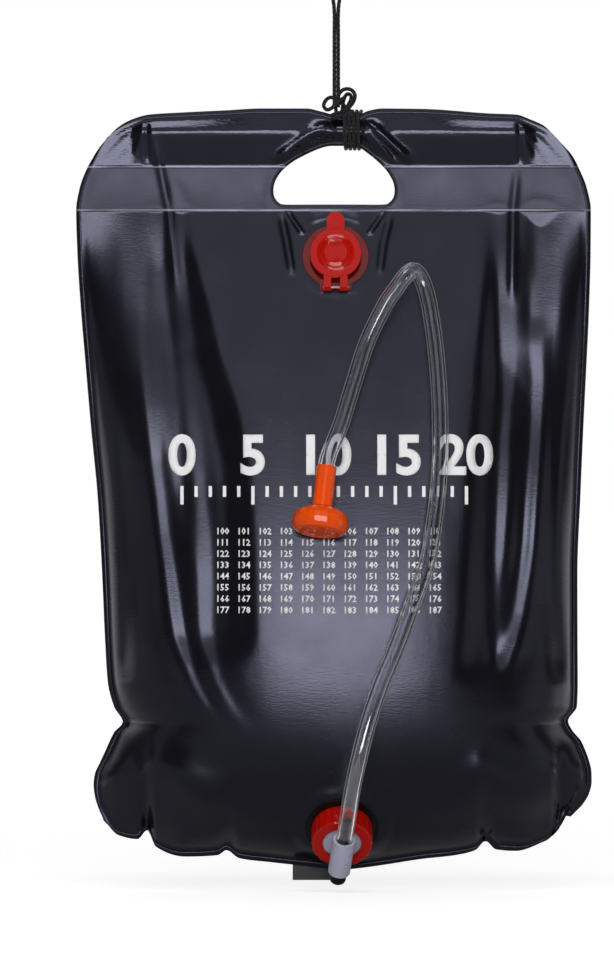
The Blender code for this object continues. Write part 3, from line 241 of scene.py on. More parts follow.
def add_bump(tree, shader, height, distance, strength=1.0, under=None):
    """Bump from a height, on top of another bump where one is given."""
    node = tree.nodes.new("ShaderNodeBump")
    node.inputs["Strength"].default_value = strength
    node.inputs["Distance"].default_value = distance
    tree.links.new(height, node.inputs["Height"])
    if under is not None:
        tree.links.new(under, node.inputs["Normal"])
    tree.links.new(node.outputs["Normal"], shader.inputs["Normal"])
    return node.outputs["Normal"]


clear_look = {"Base Color": (0.96, 0.97, 1.0, 1.0), "Transmission Weight": 1.0, "IOR": 1.45}
clear_pvc, tree, shader = plain_material("clear_pvc", clear_look)
haze = add_noise(tree, 40.0, 2.0)
tree.links.new(add_range(tree, haze, 0.0, 0.04), shader.inputs["Roughness"])
edge_on = tree.nodes.new("ShaderNodeLayerWeight")
edge_on.inputs["Blend"].default_value = 0.5
wall = add_range(tree, edge_on.outputs["Facing"], 1.0, 0.45, 0.45, 0.85)
tree.links.new(wall, shader.inputs["Transmission Weight"])
add_bump(tree, shader, add_noise(tree, 30.0, 2.0), 0.0008, 0.18)
hose = add_piece("hose_tube", hose_mesh, "bag", clear_pvc)
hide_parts("hose")

# Bag film: two sheets of 0.5 mm black PVC with a fine grain, heat-welded along the rim, along two lines across
# the top and round the carrying hole. The water-filled belly pushes them apart, and folds run up from it.
width_mm = 405
bag_width = width_mm / 1000
bag_height = 0.599
bag_drop = 0.1412
film_thick = 0.0005
weld_margin = 0.004
half_gap = 0.00015
hole_weld_width = 0.0024
rod_radius = 0.004
rod_z = -0.1585
rod_half_length = 0.1465
sleeve_weld_z = -0.1869
band_weld_z = -0.2209
# The films' greatest distance from the seam plane, and how far down the filled part it lies
front_bulge = 0.080
back_bulge = 0.058
crest_share = 0.75
# The two fittings are round, but lean, so that their outlines in the seam plane are squashed
fill_centre = (0.0016, -0.2579)
fill_squash = 0.956
fill_flat_radius = 0.0275
outlet_centre = (0.0065, -0.7050)
outlet_squash = 0.766
outlet_flat_radius = 0.033
outlet_lean = math.radians(40)
# Share of the height below which the bottom seam's shape draws the film's rows with it
lobe_share = 0.755
# Share of the height, then inset of the left and the right edge in mm
side_table = (
    (0.0380, 24.1, 26.8), (0.0475, 19.3, 21.3), (0.0572, 15.4, 16.2), (0.0668, 12.2, 12.6),
    (0.0763, 9.1, 9.9), (0.1040, 2.8, 3.2), (0.1330, 0.0, 0.0), (0.1900, 1.0, 0.2),
    (0.2600, 3.6, 1.4), (0.3350, 7.4, 3.4), (0.4200, 11.8, 5.9), (0.5100, 16.9, 8.3),
    (0.6100, 20.4, 10.6), (0.7050, 23.0, 10.4), (0.7550, 25.0, 10.3), (0.7876, 30.0, 11.0),
    (0.8074, 36.7, 18.0), (0.8206, 30.0, 14.5), (0.8338, 26.0, 8.0), (0.8470, 22.5, 4.5),
    (0.8615, 18.5, 1.5), (0.8760, 14.6, -0.4), (0.8905, 13.6, -0.6), (0.9050, 14.6, 1.2),
    (0.9210, 17.5, 6.5), (0.9367, 21.7, 15.5),
)
# Share of the width, then height of the bottom seam above its lowest point in mm
bottom_table = (
    (0.000, 37.9), (0.030, 26.8), (0.071, 23.7), (0.092, 30.8), (0.110, 17.8),
    (0.174, 9.9), (0.243, 11.0), (0.262, 15.0), (0.289, 8.7), (0.357, 5.5),
    (0.435, 2.4), (0.487, 0.4), (0.522, 0.0), (0.557, 1.2), (0.602, 3.5),
    (0.680, 7.9), (0.754, 11.0), (0.797, 15.0), (0.818, 22.1), (0.841, 15.4),
    (0.883, 14.2), (0.937, 20.5), (0.962, 26.5), (0.972, 45.0), (0.981, 43.5),
    (0.990, 42.0), (1.000, 41.5),
)
# Without their notches, the sides and the seam that the water would draw if the film didn't pucker
open_sides = [row for row in side_table if not 0.78 < row[0] < 0.86]
open_seam = [row for row in bottom_table if row[0] not in (0.092, 0.243, 0.262, 0.797, 0.818)]
# Share of the width, then drop of the hem below its highest point in mm
top_table = (
    (0.000, 22.9), (0.022, 15.0), (0.053, 8.7), (0.093, 4.7), (0.160, 3.2),
    (0.270, 1.3), (0.340, 0.0), (0.443, 0.0), (0.476, 2.4), (0.510, 5.1),
    (0.557, 5.5), (0.580, 2.0), (0.612, 0.0), (0.700, 0.3), (0.855, 3.9),
    (0.911, 4.7), (0.944, 8.7), (0.973, 13.4), (1.000, 22.9),
)
# Folds: height in mm, width to the left and to the right of its line in mm, then the line's points in mm
fold_table = (
    (1.5, 3.0, 3.0, ((-143.1, -157.7), (-136.8, -186.9), (-129.5, -222.4), (-123.0, -291.8))),
    (-1.1, 6, 6, ((-128.2, -187.7), (-120.1, -222.4), (-112.3, -300.0))),
    (-2.4, 11, 11, ((-141.0, -205.0), (-135.0, -290.0), (-126.0, -360.0), (-117.0, -434.0), (-110.0, -505.0))),
    (-1.6, 9, 9, ((129.0, -205.0), (129.0, -290.0), (130.0, -380.0))),
    (-2.4, 11, 11, ((163.0, -205.0), (161.0, -260.0), (158.0, -330.0))),
    (-0.9, 2, 2, ((-150.2, -151.4), (-166.8, -167.2), (-185.7, -187.7))),
    (-0.8, 2, 2, ((-149.4, -154.6), (-158.9, -169.6), (-168.4, -189.3))),
    (-0.8, 2, 2, ((-147.9, -156.2), (-151.0, -171.9), (-153.4, -190.9))),
    (-1.6, 2, 2, ((-147.9, -148.3), (-146.3, -186.1))),
    (-1.6, 2, 2, ((147.1, -149.8), (147.1, -186.9))),
    (-0.8, 2, 2, ((149.4, -154.6), (166.8, -169.6), (183.4, -190.9))),
    (-0.7, 2, 2, ((148.7, -157.7), (157.3, -171.9), (166.8, -190.9))),
    (1.5, 3.0, 3.0, ((145.5, -181.4), (141.6, -220.0), (140.2, -300.0))),
    (3.2, 4.0, 2.2, ((6.0, -148.0), (-14.0, -159.5), (-30.0, -171.5), (-49.0, -184.5))),
    (1.7, 1.4, 1.4, ((4.0, -151.5), (-10.0, -160.5), (-20.0, -169.5), (-31.0, -178.0))),
    (1.4, 1.2, 1.2, ((3.0, -156.0), (-5.0, -162.5), (-11.0, -169.0))),
    (-1.6, 2.2, 2.2, ((4.0, -149.5), (-16.0, -162.5), (-38.0, -178.5))),
    (3.2, 2.2, 4.0, ((19.0, -147.0), (33.0, -158.5), (47.0, -171.5), (63.0, -185.0))),
    (1.7, 1.4, 1.4, ((21.0, -151.5), (32.0, -164.0), (43.0, -177.5), (50.0, -184.5))),
    (1.4, 1.2, 1.2, ((22.0, -157.0), (28.0, -166.0), (35.0, -177.0))),
    (-1.6, 2.2, 2.2, ((21.0, -149.0), (36.0, -164.5), (54.0, -182.5))),
    (1.0, 3.0, 2.0, ((-20.0, -144.5), (-44.0, -147.0), (-80.0, -146.5))),
    (1.0, 3.0, 2.0, ((36.0, -144.5), (62.0, -147.5), (98.0, -146.0))),
    (1.5, 1.9, 1.9, ((-39.0, -218.4), (-31.5, -229.5), (-25.6, -238.0), (-19.2, -240.6), (-6.0, -235.0))),
    (1.5, 1.9, 1.9, ((43.0, -218.4), (35.0, -229.5), (28.8, -238.0), (22.6, -240.6), (9.0, -235.0))),
    (-1.0, 5, 5, ((-23.3, -227.9), (1.2, -229.5), (26.4, -227.9))),
    (1.5, 3.5, 3.0, ((-42.0, -220.0), (-36.3, -248.4), (-31.6, -276.1))),
    (1.3, 3.5, 3.0, ((46.0, -220.0), (39.2, -248.4), (35.5, -276.1))),
    (-1.6, 9, 12, ((-165.2, -623.0), (-156.2, -646.7), (-153.0, -668.0))),
    (5.5, 14, 16, ((-156.0, -648.0), (-122.0, -664.0), (-84.0, -694.0))),
    (-1.6, 12, 9, ((184.1, -626.2), (175.3, -643.6), (172.0, -664.0))),
    (5.0, 16, 14, ((172.0, -694.0), (134.0, -672.0), (98.0, -654.0))),
)

# Level strips of the two flanks, where the film faces forwards: share of the slope taken away, width in mm,
# then the strip's points in mm
strip_table = (
    (0.85, 10, (
        (-142.3, -226.0), (-145.0, -260.0), (-147.1, -309.1), (-145.9, -333.6), (-144.2, -358.0),
        (-142.0, -393.5), (-140.2, -420.3), (-136.6, -447.9), (-133.5, -474.8), (-128.9, -501.6),
        (-124.8, -529.2), (-120.3, -556.0), (-113.2, -578.1), (-105.7, -597.0), (-96.0, -614.0), (-84.0, -632.0),
    )),
    (0.8, 10, (
        (-129.7, -224.8), (-125.4, -255.2), (-120.6, -303.5), (-117.1, -333.6), (-114.0, -363.6),
        (-111.0, -388.0), (-106.5, -433.0), (-102.9, -474.8), (-101.3, -511.0), (-101.3, -547.3),
        (-99.0, -565.5), (-91.0, -592.0), (-80.0, -612.0), (-66.0, -634.0),
    )),
    (0.4, 9, ((-174.7, -386.4), (-167.6, -465.3), (-165.6, -501.6), (-169.6, -556.0), (-173.1, -599.4))),
    (0.9, 9, (
        (140.8, -226.0), (139.2, -307.6), (137.6, -357.3), (134.2, -402.2), (132.4, -447.9),
        (130.5, -483.4), (128.8, -511.0), (126.9, -537.9), (127.4, -565.5), (131.0, -590.0),
    )),
    (1.0, 10, (
        (152.6, -244.5), (158.9, -315.5), (161.3, -357.3), (158.7, -411.7), (155.8, -447.9),
        (153.2, -483.4), (149.6, -511.0), (146.0, -537.9), (140.0, -565.5), (131.0, -590.0),
    )),
    (0.4, 10, (
        (184.4, -339.1), (177.4, -393.5), (175.1, -447.9), (175.1, -492.9), (177.1, -529.2),
        (183.4, -565.5), (186.5, -601.7),
    )),
    (0.8, 10, ((139.5, -500.0), (137.0, -528.0), (134.5, -552.0), (131.5, -578.0), (128.0, -592.0))),
)
# Edges where the front's middle ends and the film steps back: side, depth and width in mm, then points in mm
step_table = (
    (-1, 6.0, 24, (
        (-118.7, -226.0), (-101.3, -291.8), (-91.9, -333.6), (-78.5, -376.0), (-68.2, -425.9),
        (-65.1, -481.1), (-64.3, -528.4), (-64.3, -563.9), (-69.0, -582.0),
    )),
    (1, 6.0, 20, (
        (122.6, -252.4), (118.7, -299.7), (114.4, -357.3), (111.6, -393.5), (108.0, -429.8),
        (106.5, -456.6), (103.5, -501.6), (101.7, -537.9), (98.0, -574.1), (93.5, -599.4),
    )),
)


def table_value(table, column, shares):
    """Values between a table's rows, on a smooth curve that doesn't overshoot them."""
    places = np.array([row[0] for row in table])
    values = np.array([row[column] for row in table])
    steps = np.diff(places)
    slopes = np.diff(values) / steps
    tangents = np.zeros(len(places))
    tangents[0], tangents[-1] = slopes[0], slopes[-1]
    for index in range(1, len(places) - 1):
        before, after = slopes[index - 1], slopes[index]
        if before * after > 0:
            first = 2 * steps[index] + steps[index - 1]
            second = steps[index] + 2 * steps[index - 1]
            tangents[index] = (first + second) / (first / before + second / after)
    index = np.clip(np.searchsorted(places, shares, side="right") - 1, 0, len(places) - 2)
    step = steps[index]
    t = np.clip((shares - places[index]) / step, 0.0, 1.0)
    return (
        (2 * t**3 - 3 * t**2 + 1) * values[index]
        + (t**3 - 2 * t**2 + t) * step * tangents[index]
        + (3 * t**2 - 2 * t**3) * values[index + 1]
        + (t**3 - t**2) * step * tangents[index + 1]
    )


def ease(value):
    """A step from 0 to 1 that starts and stops gently."""
    value = np.clip(value, 0.0, 1.0)
    return value * value * (3 - 2 * value)


def side_places(z, table=side_table):
    """Left and right edge of the bag at a height."""
    share = np.clip((-bag_drop - z) / bag_height, table[0][0], table[-1][0])
    left = -bag_width / 2 + table_value(table, 1, share) / 1000
    right = bag_width / 2 - table_value(table, 2, share) / 1000
    return left, right


def hem_and_seam(x, table=bottom_table):
    """Heights of the top hem and of the bottom seam at a place across the bag."""
    first, last = side_table[0], side_table[-1]
    share = (x * 1000 + width_mm / 2 - first[1]) / (width_mm - first[1] - first[2])
    hem = -bag_drop - table_value(top_table, 1, share) / 1000
    share = (x * 1000 + width_mm / 2 - last[1]) / (width_mm - last[1] - last[2])
    seam = -bag_drop - bag_height + table_value(table, 1, share) / 1000
    return hem, seam


def side_distance(x, z):
    """How far a place is from the weld along the nearer side."""
    left, right = side_places(z)
    return np.minimum(x - left, right - x) - weld_margin


def rim_distance(x, z):
    """How far a place is from the weld along the rim."""
    left, right = side_places(z)
    hem, seam = hem_and_seam(x)
    return np.minimum(np.minimum(x - left, right - x), np.minimum(hem - z, z - seam)) - weld_margin


def film_place(row, column):
    """Where a place of the sheet hangs in the seam plane, from its shares of the height and of the width."""
    z = -bag_drop - row * bag_height
    left, right = side_places(z)
    first, last = side_table[0][0], side_table[-1][0]
    margin = weld_margin / bag_height
    weld = (-bag_drop - sleeve_weld_z) / bag_height
    from_top = np.clip(1 - (row - first - margin) / (weld - first - margin), 0, 1)
    from_bottom = np.clip((row - lobe_share) / (last - margin - lobe_share), 0, 1)
    hem = first * bag_height - table_value(top_table, 1, column) / 1000
    seam = table_value(bottom_table, 1, column) / 1000 - (1 - last) * bag_height
    return left + (right - left) * column, z + from_top * hem + from_bottom * seam

# Carrying hole: places round its edge in mm, up from its lower right corner. The rope gathers its upper edge.
hole_table = (
    (38.8, -216.9), (44.2, -215.3), (47.8, -210.6), (48.5, -203.9), (46.6, -196.8), (41.4, -188.6),
    (34.0, -181.3), (26.6, -175.4), (20.6, -171.4), (13.0, -170.2), (5.0, -170.0), (-4.0, -170.2),
    (-11.4, -172.2), (-21.0, -176.4), (-31.8, -182.2), (-40.6, -189.4), (-45.8, -197.0), (-47.7, -203.9),
    (-47.0, -210.6), (-43.4, -215.3), (-38.0, -216.9), (-12.0, -216.9), (14.0, -216.9),
)


def hole_outline(outwards=0.0, count=72):
    """Outline of the carrying hole, moved outwards by a width."""
    loop = [Vector((x / 1000, 0.0, z / 1000)) for x, z in hole_table]
    dense = curve_through(loop[-2:] + loop + loop[:2], 0.001)
    first = min(range(len(dense) // 2), key=lambda index: (dense[index] - loop[0]).length)
    last = max(range(len(dense) // 2, len(dense)), key=lambda index: -(dense[index] - loop[0]).length)
    dense = dense[first : last + 1]
    along = np.cumsum([0.0] + [(after - before).length for before, after in zip(dense, dense[1:])])
    spots = np.linspace(0.0, along[-1], count, endpoint=False)
    x = np.interp(spots, along, [place.x for place in dense])
    z = np.interp(spots, along, [place.z for place in dense])
    run_x, run_z = np.roll(x, -1) - np.roll(x, 1), np.roll(z, -1) - np.roll(z, 1)
    length = np.hypot(run_x, run_z)
    return list(zip((x + outwards * run_z / length).tolist(), (z - outwards * run_x / length).tolist()))


def line_distance(x, z, points):
    """Distance to a line in the seam plane, with the side that a place is on and the share along the line."""
    pairs = list(zip(points, points[1:]))
    lengths = [math.dist(first, second) for first, second in pairs]
    total, done = sum(lengths), 0.0
    nearest = np.full(x.shape, 9.0)
    side = np.zeros(x.shape)
    along = np.zeros(x.shape)
    for (first, second), length in zip(pairs, lengths):
        across = (second[0] - first[0]) / length, (second[1] - first[1]) / length
        dx, dz = x - first[0], z - first[1]
        run = np.clip(dx * across[0] + dz * across[1], 0.0, length)
        off = np.hypot(dx - run * across[0], dz - run * across[1])
        closer = off < nearest
        nearest = np.where(closer, off, nearest)
        side = np.where(closer, across[0] * dz - across[1] * dx, side)
        along = np.where(closer, (done + run) / total, along)
        done += length
    return nearest, side, along


def hole_distance(x, z):
    """Distance to the edge of the carrying hole."""
    outline = hole_outline(0.0, 24)
    return line_distance(x, z, outline + outline[:1])[0]


def inside_hole(x, z):
    """Whether a place lies in the carrying hole."""
    points = hole_outline()
    inside = np.zeros(x.shape, dtype=bool)
    for (x1, z1), (x2, z2) in zip(points, points[1:] + points[:1]):
        crosses = (z1 > z) != (z2 > z)
        slope = (x2 - x1) / (z2 - z1) if z1 != z2 else 0.0
        inside ^= crosses & (x < x1 + (z - z1) * slope)
    return inside


def fold_depth(x, z, scale=1.0):
    """Height of the folds at each place, fading out at the rim, at the hole and under the two fittings."""
    total = np.zeros(x.shape)
    for height, left_width, right_width, points in fold_table:
        line = [(px / 1000, pz / 1000) for px, pz in points]
        reach = 3 * max(left_width, right_width) / 1000
        near = (x > min(p[0] for p in line) - reach) & (x < max(p[0] for p in line) + reach)
        near &= (z > min(p[1] for p in line) - reach) & (z < max(p[1] for p in line) + reach)
        if not near.any():
            continue
        off, side, along = line_distance(x[near], z[near], line)
        width = np.where(side > 0, right_width, left_width) / 1000
        taper = ease(along / 0.22) * ease((1 - along) / 0.22)
        total[near] += height / 1000 * np.exp(-((off / width) ** 2)) * taper
    total *= ease(rim_distance(x, z) / 0.008)
    total *= ease((np.hypot(x - fill_centre[0], (z - fill_centre[1]) * 1.02) - fill_flat_radius) / 0.004)
    from_outlet = np.hypot(x - outlet_centre[0], (z - outlet_centre[1]) / outlet_squash)
    total *= ease((from_outlet - outlet_flat_radius) / 0.010)
    return total * ease((hole_distance(x, z) - 0.002) / 0.003) * scale


def ripple(x, z, sideways, downwards, seed):
    """Soft random undulation of the sheet, between -1 and 1."""
    places = zip(x.ravel(), z.ravel())
    flat = [noise.noise(Vector((across * sideways, seed, up * downwards))) for across, up in places]
    return np.array(flat).reshape(x.shape)


def sleeve_and_band(x, z):
    """Depth of the film above the lower weld: over the rod in its sleeve, then flat between the welds."""
    hem = hem_and_seam(x)[0]
    room = rod_radius + 0.0013
    above_rod = np.maximum(hem - weld_margin - rod_z, 0.006)
    from_rod = np.abs(z - rod_z) / np.where(z > rod_z, above_rod, rod_z - sleeve_weld_z)
    bend = 0.07
    fall = (np.sqrt(from_rod**2 + bend**2) - bend) / (math.sqrt(1 + bend**2) - bend)
    over_rod = room * np.clip(1 - fall, 0, 1)
    past_end = ease((rod_half_length + 0.014 - np.abs(x)) / 0.012)
    hole_off = hole_distance(x, z) - hole_weld_width
    over_rod *= (0.12 + 0.88 * past_end) * ease(hole_off / 0.0085)
    rim = side_distance(x, z)
    over_rod *= ease(np.minimum(rim / 0.006, (hem - weld_margin - z) / 0.003))
    off_band = np.abs(z - (sleeve_weld_z + band_weld_z) / 2)
    band = 0.0006 * (1 - np.clip(off_band / 0.0170, 0, 1) ** 2) * ease(rim / 0.008) * ease(hole_off / 0.008)
    return np.where(z > sleeve_weld_z, over_rod, band)


def chamber(x, z, bulge):
    """How far the water pushes the film off the seam plane. It puckers towards the notches of the rim."""
    seam = hem_and_seam(x)[1] + weld_margin
    full_height = band_weld_z - hem_and_seam(x, open_seam)[1] - weld_margin

    def upright(height):
        down = np.clip((band_weld_z - height) / full_height, 0, 1)
        above = 1 - (1 - np.clip(down / crest_share, 0, 1)) ** 1.6
        below = (1 - np.clip((down - crest_share) / (1 - crest_share), 0, 1) ** 2.6) ** 0.7
        return np.where(down < crest_share, above, below)

    left, right = side_places(z)
    left, right = left + weld_margin, right - weld_margin
    open_left, open_right = side_places(z, open_sides)
    half = (open_right - open_left) / 2 - weld_margin

    def sideways(place):
        across = np.clip(np.abs(place - (open_left + open_right) / 2) / half, 0, 1)
        return (1 - across**2.4) ** 0.6

    pucker = upright(seam) * np.exp(-np.maximum(z - seam, 0) / 0.014)
    side_pucker = sideways(left) * np.exp(-np.maximum(x - left, 0) / 0.016)
    side_pucker += sideways(right) * np.exp(-np.maximum(right - x, 0) / 0.016)
    return bulge * np.maximum(upright(z) - pucker, 0) * np.maximum(sideways(x) - side_pucker, 0)


def line_reach(z, points, fade_top, fade_bottom):
    """Where an upright line is at each height, and how far it has faded in."""
    heights = [pz / 1000 for px, pz in reversed(points)]
    place = np.interp(z, heights, [px / 1000 for px, pz in reversed(points)])
    return place, ease((heights[-1] - z) / fade_top + 0.25) * ease((z - heights[0]) / fade_bottom)


def stepped_chamber(x, z, bulge):
    """The chamber's front with the edges of its middle and the level strips of its flanks."""
    rim = side_distance(x, z)
    depth = chamber(x, z, bulge)
    for side, drop, width, points in step_table:
        place, faded = line_reach(z, points, 0.060, 0.030)
        off = (x - place) * side
        back = ease((0.075 - off) / 0.055)
        narrow = 0.45 + 0.55 * ease((band_weld_z - z) / 0.16)
        least = np.minimum(drop / 1000, 0.22 * depth)
        depth = depth - least * faded * ease(off / (width * narrow) * 1000 + 0.2) * back * ease(rim / 0.02)
    for share, width, points in strip_table:
        place, faded = line_reach(z, points, 0.050, 0.030)
        reach = width / 1000 * (0.60 + 0.40 * ease((-0.27 - z) / 0.28))
        off = (x - place) / reach
        slope = (chamber(place + 0.001, z, bulge) - chamber(place - 0.001, z, bulge)) / 0.002
        level = share * (0.45 + 0.55 * ease((-0.26 - z) / 0.20)) * slope * off * reach * np.exp(-(off**2))
        depth = depth - level * faded * ease(rim / 0.012)
    corner = np.hypot((x - side_places(z)[0]) / 0.030, (z - band_weld_z) / 0.055)
    return np.maximum(depth, 0.0) * (1 - 0.75 * np.exp(-(corner**2)))


def weld_ridges(z):
    """The narrow raised line that the welding bar leaves along each weld."""
    return sum(0.00042 * np.exp(-(((z - weld) / 0.0007) ** 2)) for weld in (sleeve_weld_z, band_weld_z))


def seam_sway(x, z):
    """How far the rim curls forwards and backwards where neither the rod nor the outlet holds it."""
    wave = 0.0022 * np.sin(z * 34 + x * 9) * ease((np.abs(x) - 0.09) / 0.08)
    return wave * ease((-0.25 - z) / 0.10)


cad_film = bpy.data.objects["front_panel"]


def cad_depth(x, z, otherwise):
    """Depth of the film under the fill valve, where its moulded base was shaped to fit."""
    result = otherwise.copy()
    near = np.hypot(x - fill_centre[0], z - fill_centre[1]) < 0.036
    for index in np.argwhere(near):
        place = tuple(index)
        hit, where, normal, face = cad_film.ray_cast(Vector((x[place], -0.3, z[place])), Vector((0, 1, 0)))
        if hit and where.y < 0:
            result[place] = -where.y - half_gap - film_thick
    return result


def front_depth(x, z):
    """Depth of the front film, drawn flat by the stiff outlet flange where that is welded on."""
    depth = stepped_chamber(x, z, front_bulge)
    centre_x, centre_z = outlet_centre
    reach = np.hypot(x - centre_x, (z - centre_z) / math.cos(outlet_lean))
    flat = np.clip((0.041 - reach) / 0.011, 0, 1)
    centre_depth = chamber(np.array([centre_x]), np.array([centre_z]), front_bulge)[0]
    plane = centre_depth + (z - centre_z) * math.tan(outlet_lean)
    depth = depth + flat * (plane - depth)
    depth = np.where(z > band_weld_z, sleeve_and_band(x, z), depth)
    rim = rim_distance(x, z)
    loose = ease(rim / 0.02) * ease((reach - 0.034) / 0.02)
    from_valve = np.hypot(x - fill_centre[0], z - fill_centre[1])
    loose *= ease((from_valve - 0.029) / 0.01)
    loose = np.where(z > band_weld_z, 0.25, 1.0) * loose
    depth = depth + loose * (0.0005 * ripple(x, z, 24, 3, 0.3) + 0.00010 * ripple(x, z, 80, 9, 4.1))
    depth = np.maximum(depth + fold_depth(x, z), 0.0) + weld_ridges(z) * ease(rim / 0.004)
    under_valve = ease((0.034 - from_valve) / 0.005)
    return depth + under_valve * (cad_depth(x, z, depth) - depth)


def back_depth(x, z):
    """Depth of the back film."""
    depth = chamber(x, z, back_bulge)
    depth = np.where(z > band_weld_z, sleeve_and_band(x, z), depth)
    rim = rim_distance(x, z)
    loose = ease(rim / 0.02) * np.where(z > band_weld_z, 0.25, 1.0)
    depth = depth + loose * (0.0013 * ripple(x, z, 22, 8, 8.3) + 0.0003 * ripple(x, z, 75, 40, 2.7))
    return np.maximum(depth + fold_depth(-x, z, 0.6), 0.0) + weld_ridges(z) * ease(rim / 0.004)


def sheet_shares(first, last, margin, count, fine, extra=()):
    """Shares for the sheet's rows or columns, close together at the welds and in the fine stretches."""
    spots = np.linspace(first + margin, last - margin, 2000)
    density = np.ones(len(spots))
    for start, end, times in fine:
        density += (times - 1) * ease((spots - start) / 0.02) * ease((end - spots) / 0.02)
    total = np.concatenate([[0.0], np.cumsum((density[1:] + density[:-1]) / 2)])
    inside = np.interp(np.linspace(0.0, total[-1], count), total, spots)
    ends = [first, first + margin / 2, last - margin / 2, last]
    return np.array(sorted({*inside.tolist(), *ends, *extra}))


def film_mesh(name, depth_at, side, row_count, column_count, holes):
    """One sheet as a fine grid, cut at the carrying hole and at the round holes of its fittings."""
    margin = weld_margin / bag_height
    beside_weld = (-0.0013, -0.0005, 0.0, 0.0005, 0.0013)
    extra = [(-bag_drop - weld + off) / bag_height for weld in (sleeve_weld_z, band_weld_z) for off in beside_weld]
    rows = sheet_shares(side_table[0][0], side_table[-1][0], margin, row_count, [(0.0, 0.24, 2.2)], extra)
    middle_and_shoulders = [(0.08, 0.19, 1.8), (0.35, 0.66, 2.4), (0.81, 0.92, 1.8)]
    columns = sheet_shares(0.0, 1.0, weld_margin / bag_width, column_count, middle_and_shoulders)
    row, column = np.meshgrid(rows, columns, indexing="ij")
    x, z = film_place(row, column)
    index = np.arange(x.size).reshape(x.shape)
    quads = np.stack([index[:-1, :-1], index[1:, :-1], index[1:, 1:], index[:-1, 1:]], axis=-1).reshape(-1, 4)
    flat_x, flat_z = x.ravel(), z.ravel()
    middle_x, middle_z = flat_x[quads].mean(axis=1), flat_z[quads].mean(axis=1)
    dropped = inside_hole(middle_x, middle_z)
    outline = np.array(hole_outline(0.0, 160))
    edge = np.intersect1d(quads[dropped].ravel(), quads[~dropped].ravel())
    for vert in edge:
        off = np.hypot(outline[:, 0] - flat_x[vert], outline[:, 1] - flat_z[vert])
        flat_x[vert], flat_z[vert] = outline[off.argmin()]
    for (centre_x, centre_z), radius, squash in holes:
        reach = np.hypot(middle_x - centre_x, (middle_z - centre_z) / squash)
        cut = reach < radius
        edge = np.intersect1d(quads[cut].ravel(), quads[~cut & ~dropped].ravel())
        for vert in edge:
            away = Vector((flat_x[vert] - centre_x, (flat_z[vert] - centre_z) / squash)).normalized() * radius
            flat_x[vert], flat_z[vert] = centre_x + away.x, centre_z + away.y * squash
        dropped |= cut
    quads = quads[~dropped]
    if side < 0:
        quads = quads[:, ::-1]
    x, z = flat_x.reshape(x.shape), flat_z.reshape(z.shape)
    y = seam_sway(x, z) - side * (half_gap + film_thick + depth_at(x, z))
    used, renumbered = np.unique(quads, return_inverse=True)
    places = np.stack([x.ravel(), y.ravel(), z.ravel()], axis=-1)[used]
    mesh = bpy.data.meshes.new(name)
    mesh.from_pydata(places.tolist(), [], renumbered.reshape(-1, 4).tolist())
    for face in mesh.polygons:
        face.use_smooth = True
    return mesh


bluish_gloss = {"Specular IOR Level": 0.55, "Specular Tint": (0.72, 0.74, 1.0, 1.0)}
black_pvc, tree, shader = plain_material("black_pvc", bluish_gloss)
tone = add_noise(tree, 9.0, 2.0)
plain_tone = add_mix(tree, tone, (0.0022, 0.0022, 0.0036), (0.0034, 0.0033, 0.0050))
film_up = add_axes(tree)["Z"]
# Along the two welds across the top, a pale line is painted into the film's base colour and varied by noise. It is
# a painted highlight on the welds' crests.
from_welds = [
    add_math(tree, "ABSOLUTE", add_math(tree, "SUBTRACT", film_up, weld), 0.0)
    for weld in (sleeve_weld_z, band_weld_z)
]
off_welds = add_math(tree, "MINIMUM", *from_welds)
weld_highlight_line = add_range(tree, off_welds, 1.0, 0.0, 0.00035, 0.00095)
line_strength = add_range(tree, add_noise(tree, 14.0, 2.0), 0.25, 1.0, 0.40, 0.52)
painted_weld_highlight = add_math(tree, "MULTIPLY", weld_highlight_line, line_strength)
tree.links.new(add_mix(tree, painted_weld_highlight, plain_tone, (0.30, 0.30, 0.36)), shader.inputs["Base Color"])
satin = add_range(tree, add_noise(tree, 30.0, 4.0), 0.22, 0.29)
pressed = add_range(tree, film_up, 0.0, 0.14, band_weld_z - 0.001, band_weld_z + 0.001)
drawn = add_range(tree, film_up, 0.0, -0.24, sleeve_weld_z - 0.001, sleeve_weld_z + 0.001)
dulled = add_math(tree, "ADD", pressed, drawn)
tree.links.new(add_math(tree, "ADD", satin, dulled), shader.inputs["Roughness"])
grain = add_noise(tree, 1.0, 1.0, stretch=(220.0, 220.0, 900.0))
fine = add_bump(tree, shader, grain, 0.00010, 0.6)
waves = add_noise(tree, 1.0, 2.0, stretch=(90.0, 90.0, 22.0))
add_bump(tree, shader, waves, 0.0006, 0.14, under=fine)


def thicken(piece, thickness):
    """Give a surface its thickness, behind its outer face."""
    wall = piece.modifiers.new("thickness", "SOLIDIFY")
    wall.thickness = thickness
    wall.offset = -1.0


fitting_holes = ((fill_centre, 0.012, fill_squash), (outlet_centre, 0.015, outlet_squash))
front_mesh = film_mesh("front_film", front_depth, 1, 236, 190, fitting_holes)
front_film = add_piece("front_film", front_mesh, "bag", black_pvc)
back_film = add_piece("back_film", film_mesh("back_film", back_depth, -1, 170, 124, ()), "bag", black_pvc)
for film, node in ((front_film, "front_panel"), (back_film, "back_panel")):
    thicken(film, film_thick)
    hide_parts(node)

# Print: white screen ink, put on the front film before it's welded: large numbers, the plain scale under them
# and a block of small numbers. The film bends it with it.
ink_thick = 0.00012
ink_lift = 0.00016
scale_left, scale_right = -0.1190, 0.1040
scale_top = -0.4385
tick_count = 21


def baked_mesh(holder):
    """The mesh that an object's curve or nodes come to; the object itself goes."""
    bpy.context.scene.collection.objects.link(holder)
    mesh = bpy.data.meshes.new_from_object(holder.evaluated_get(bpy.context.evaluated_depsgraph_get()))
    bpy.data.objects.remove(holder)
    return mesh


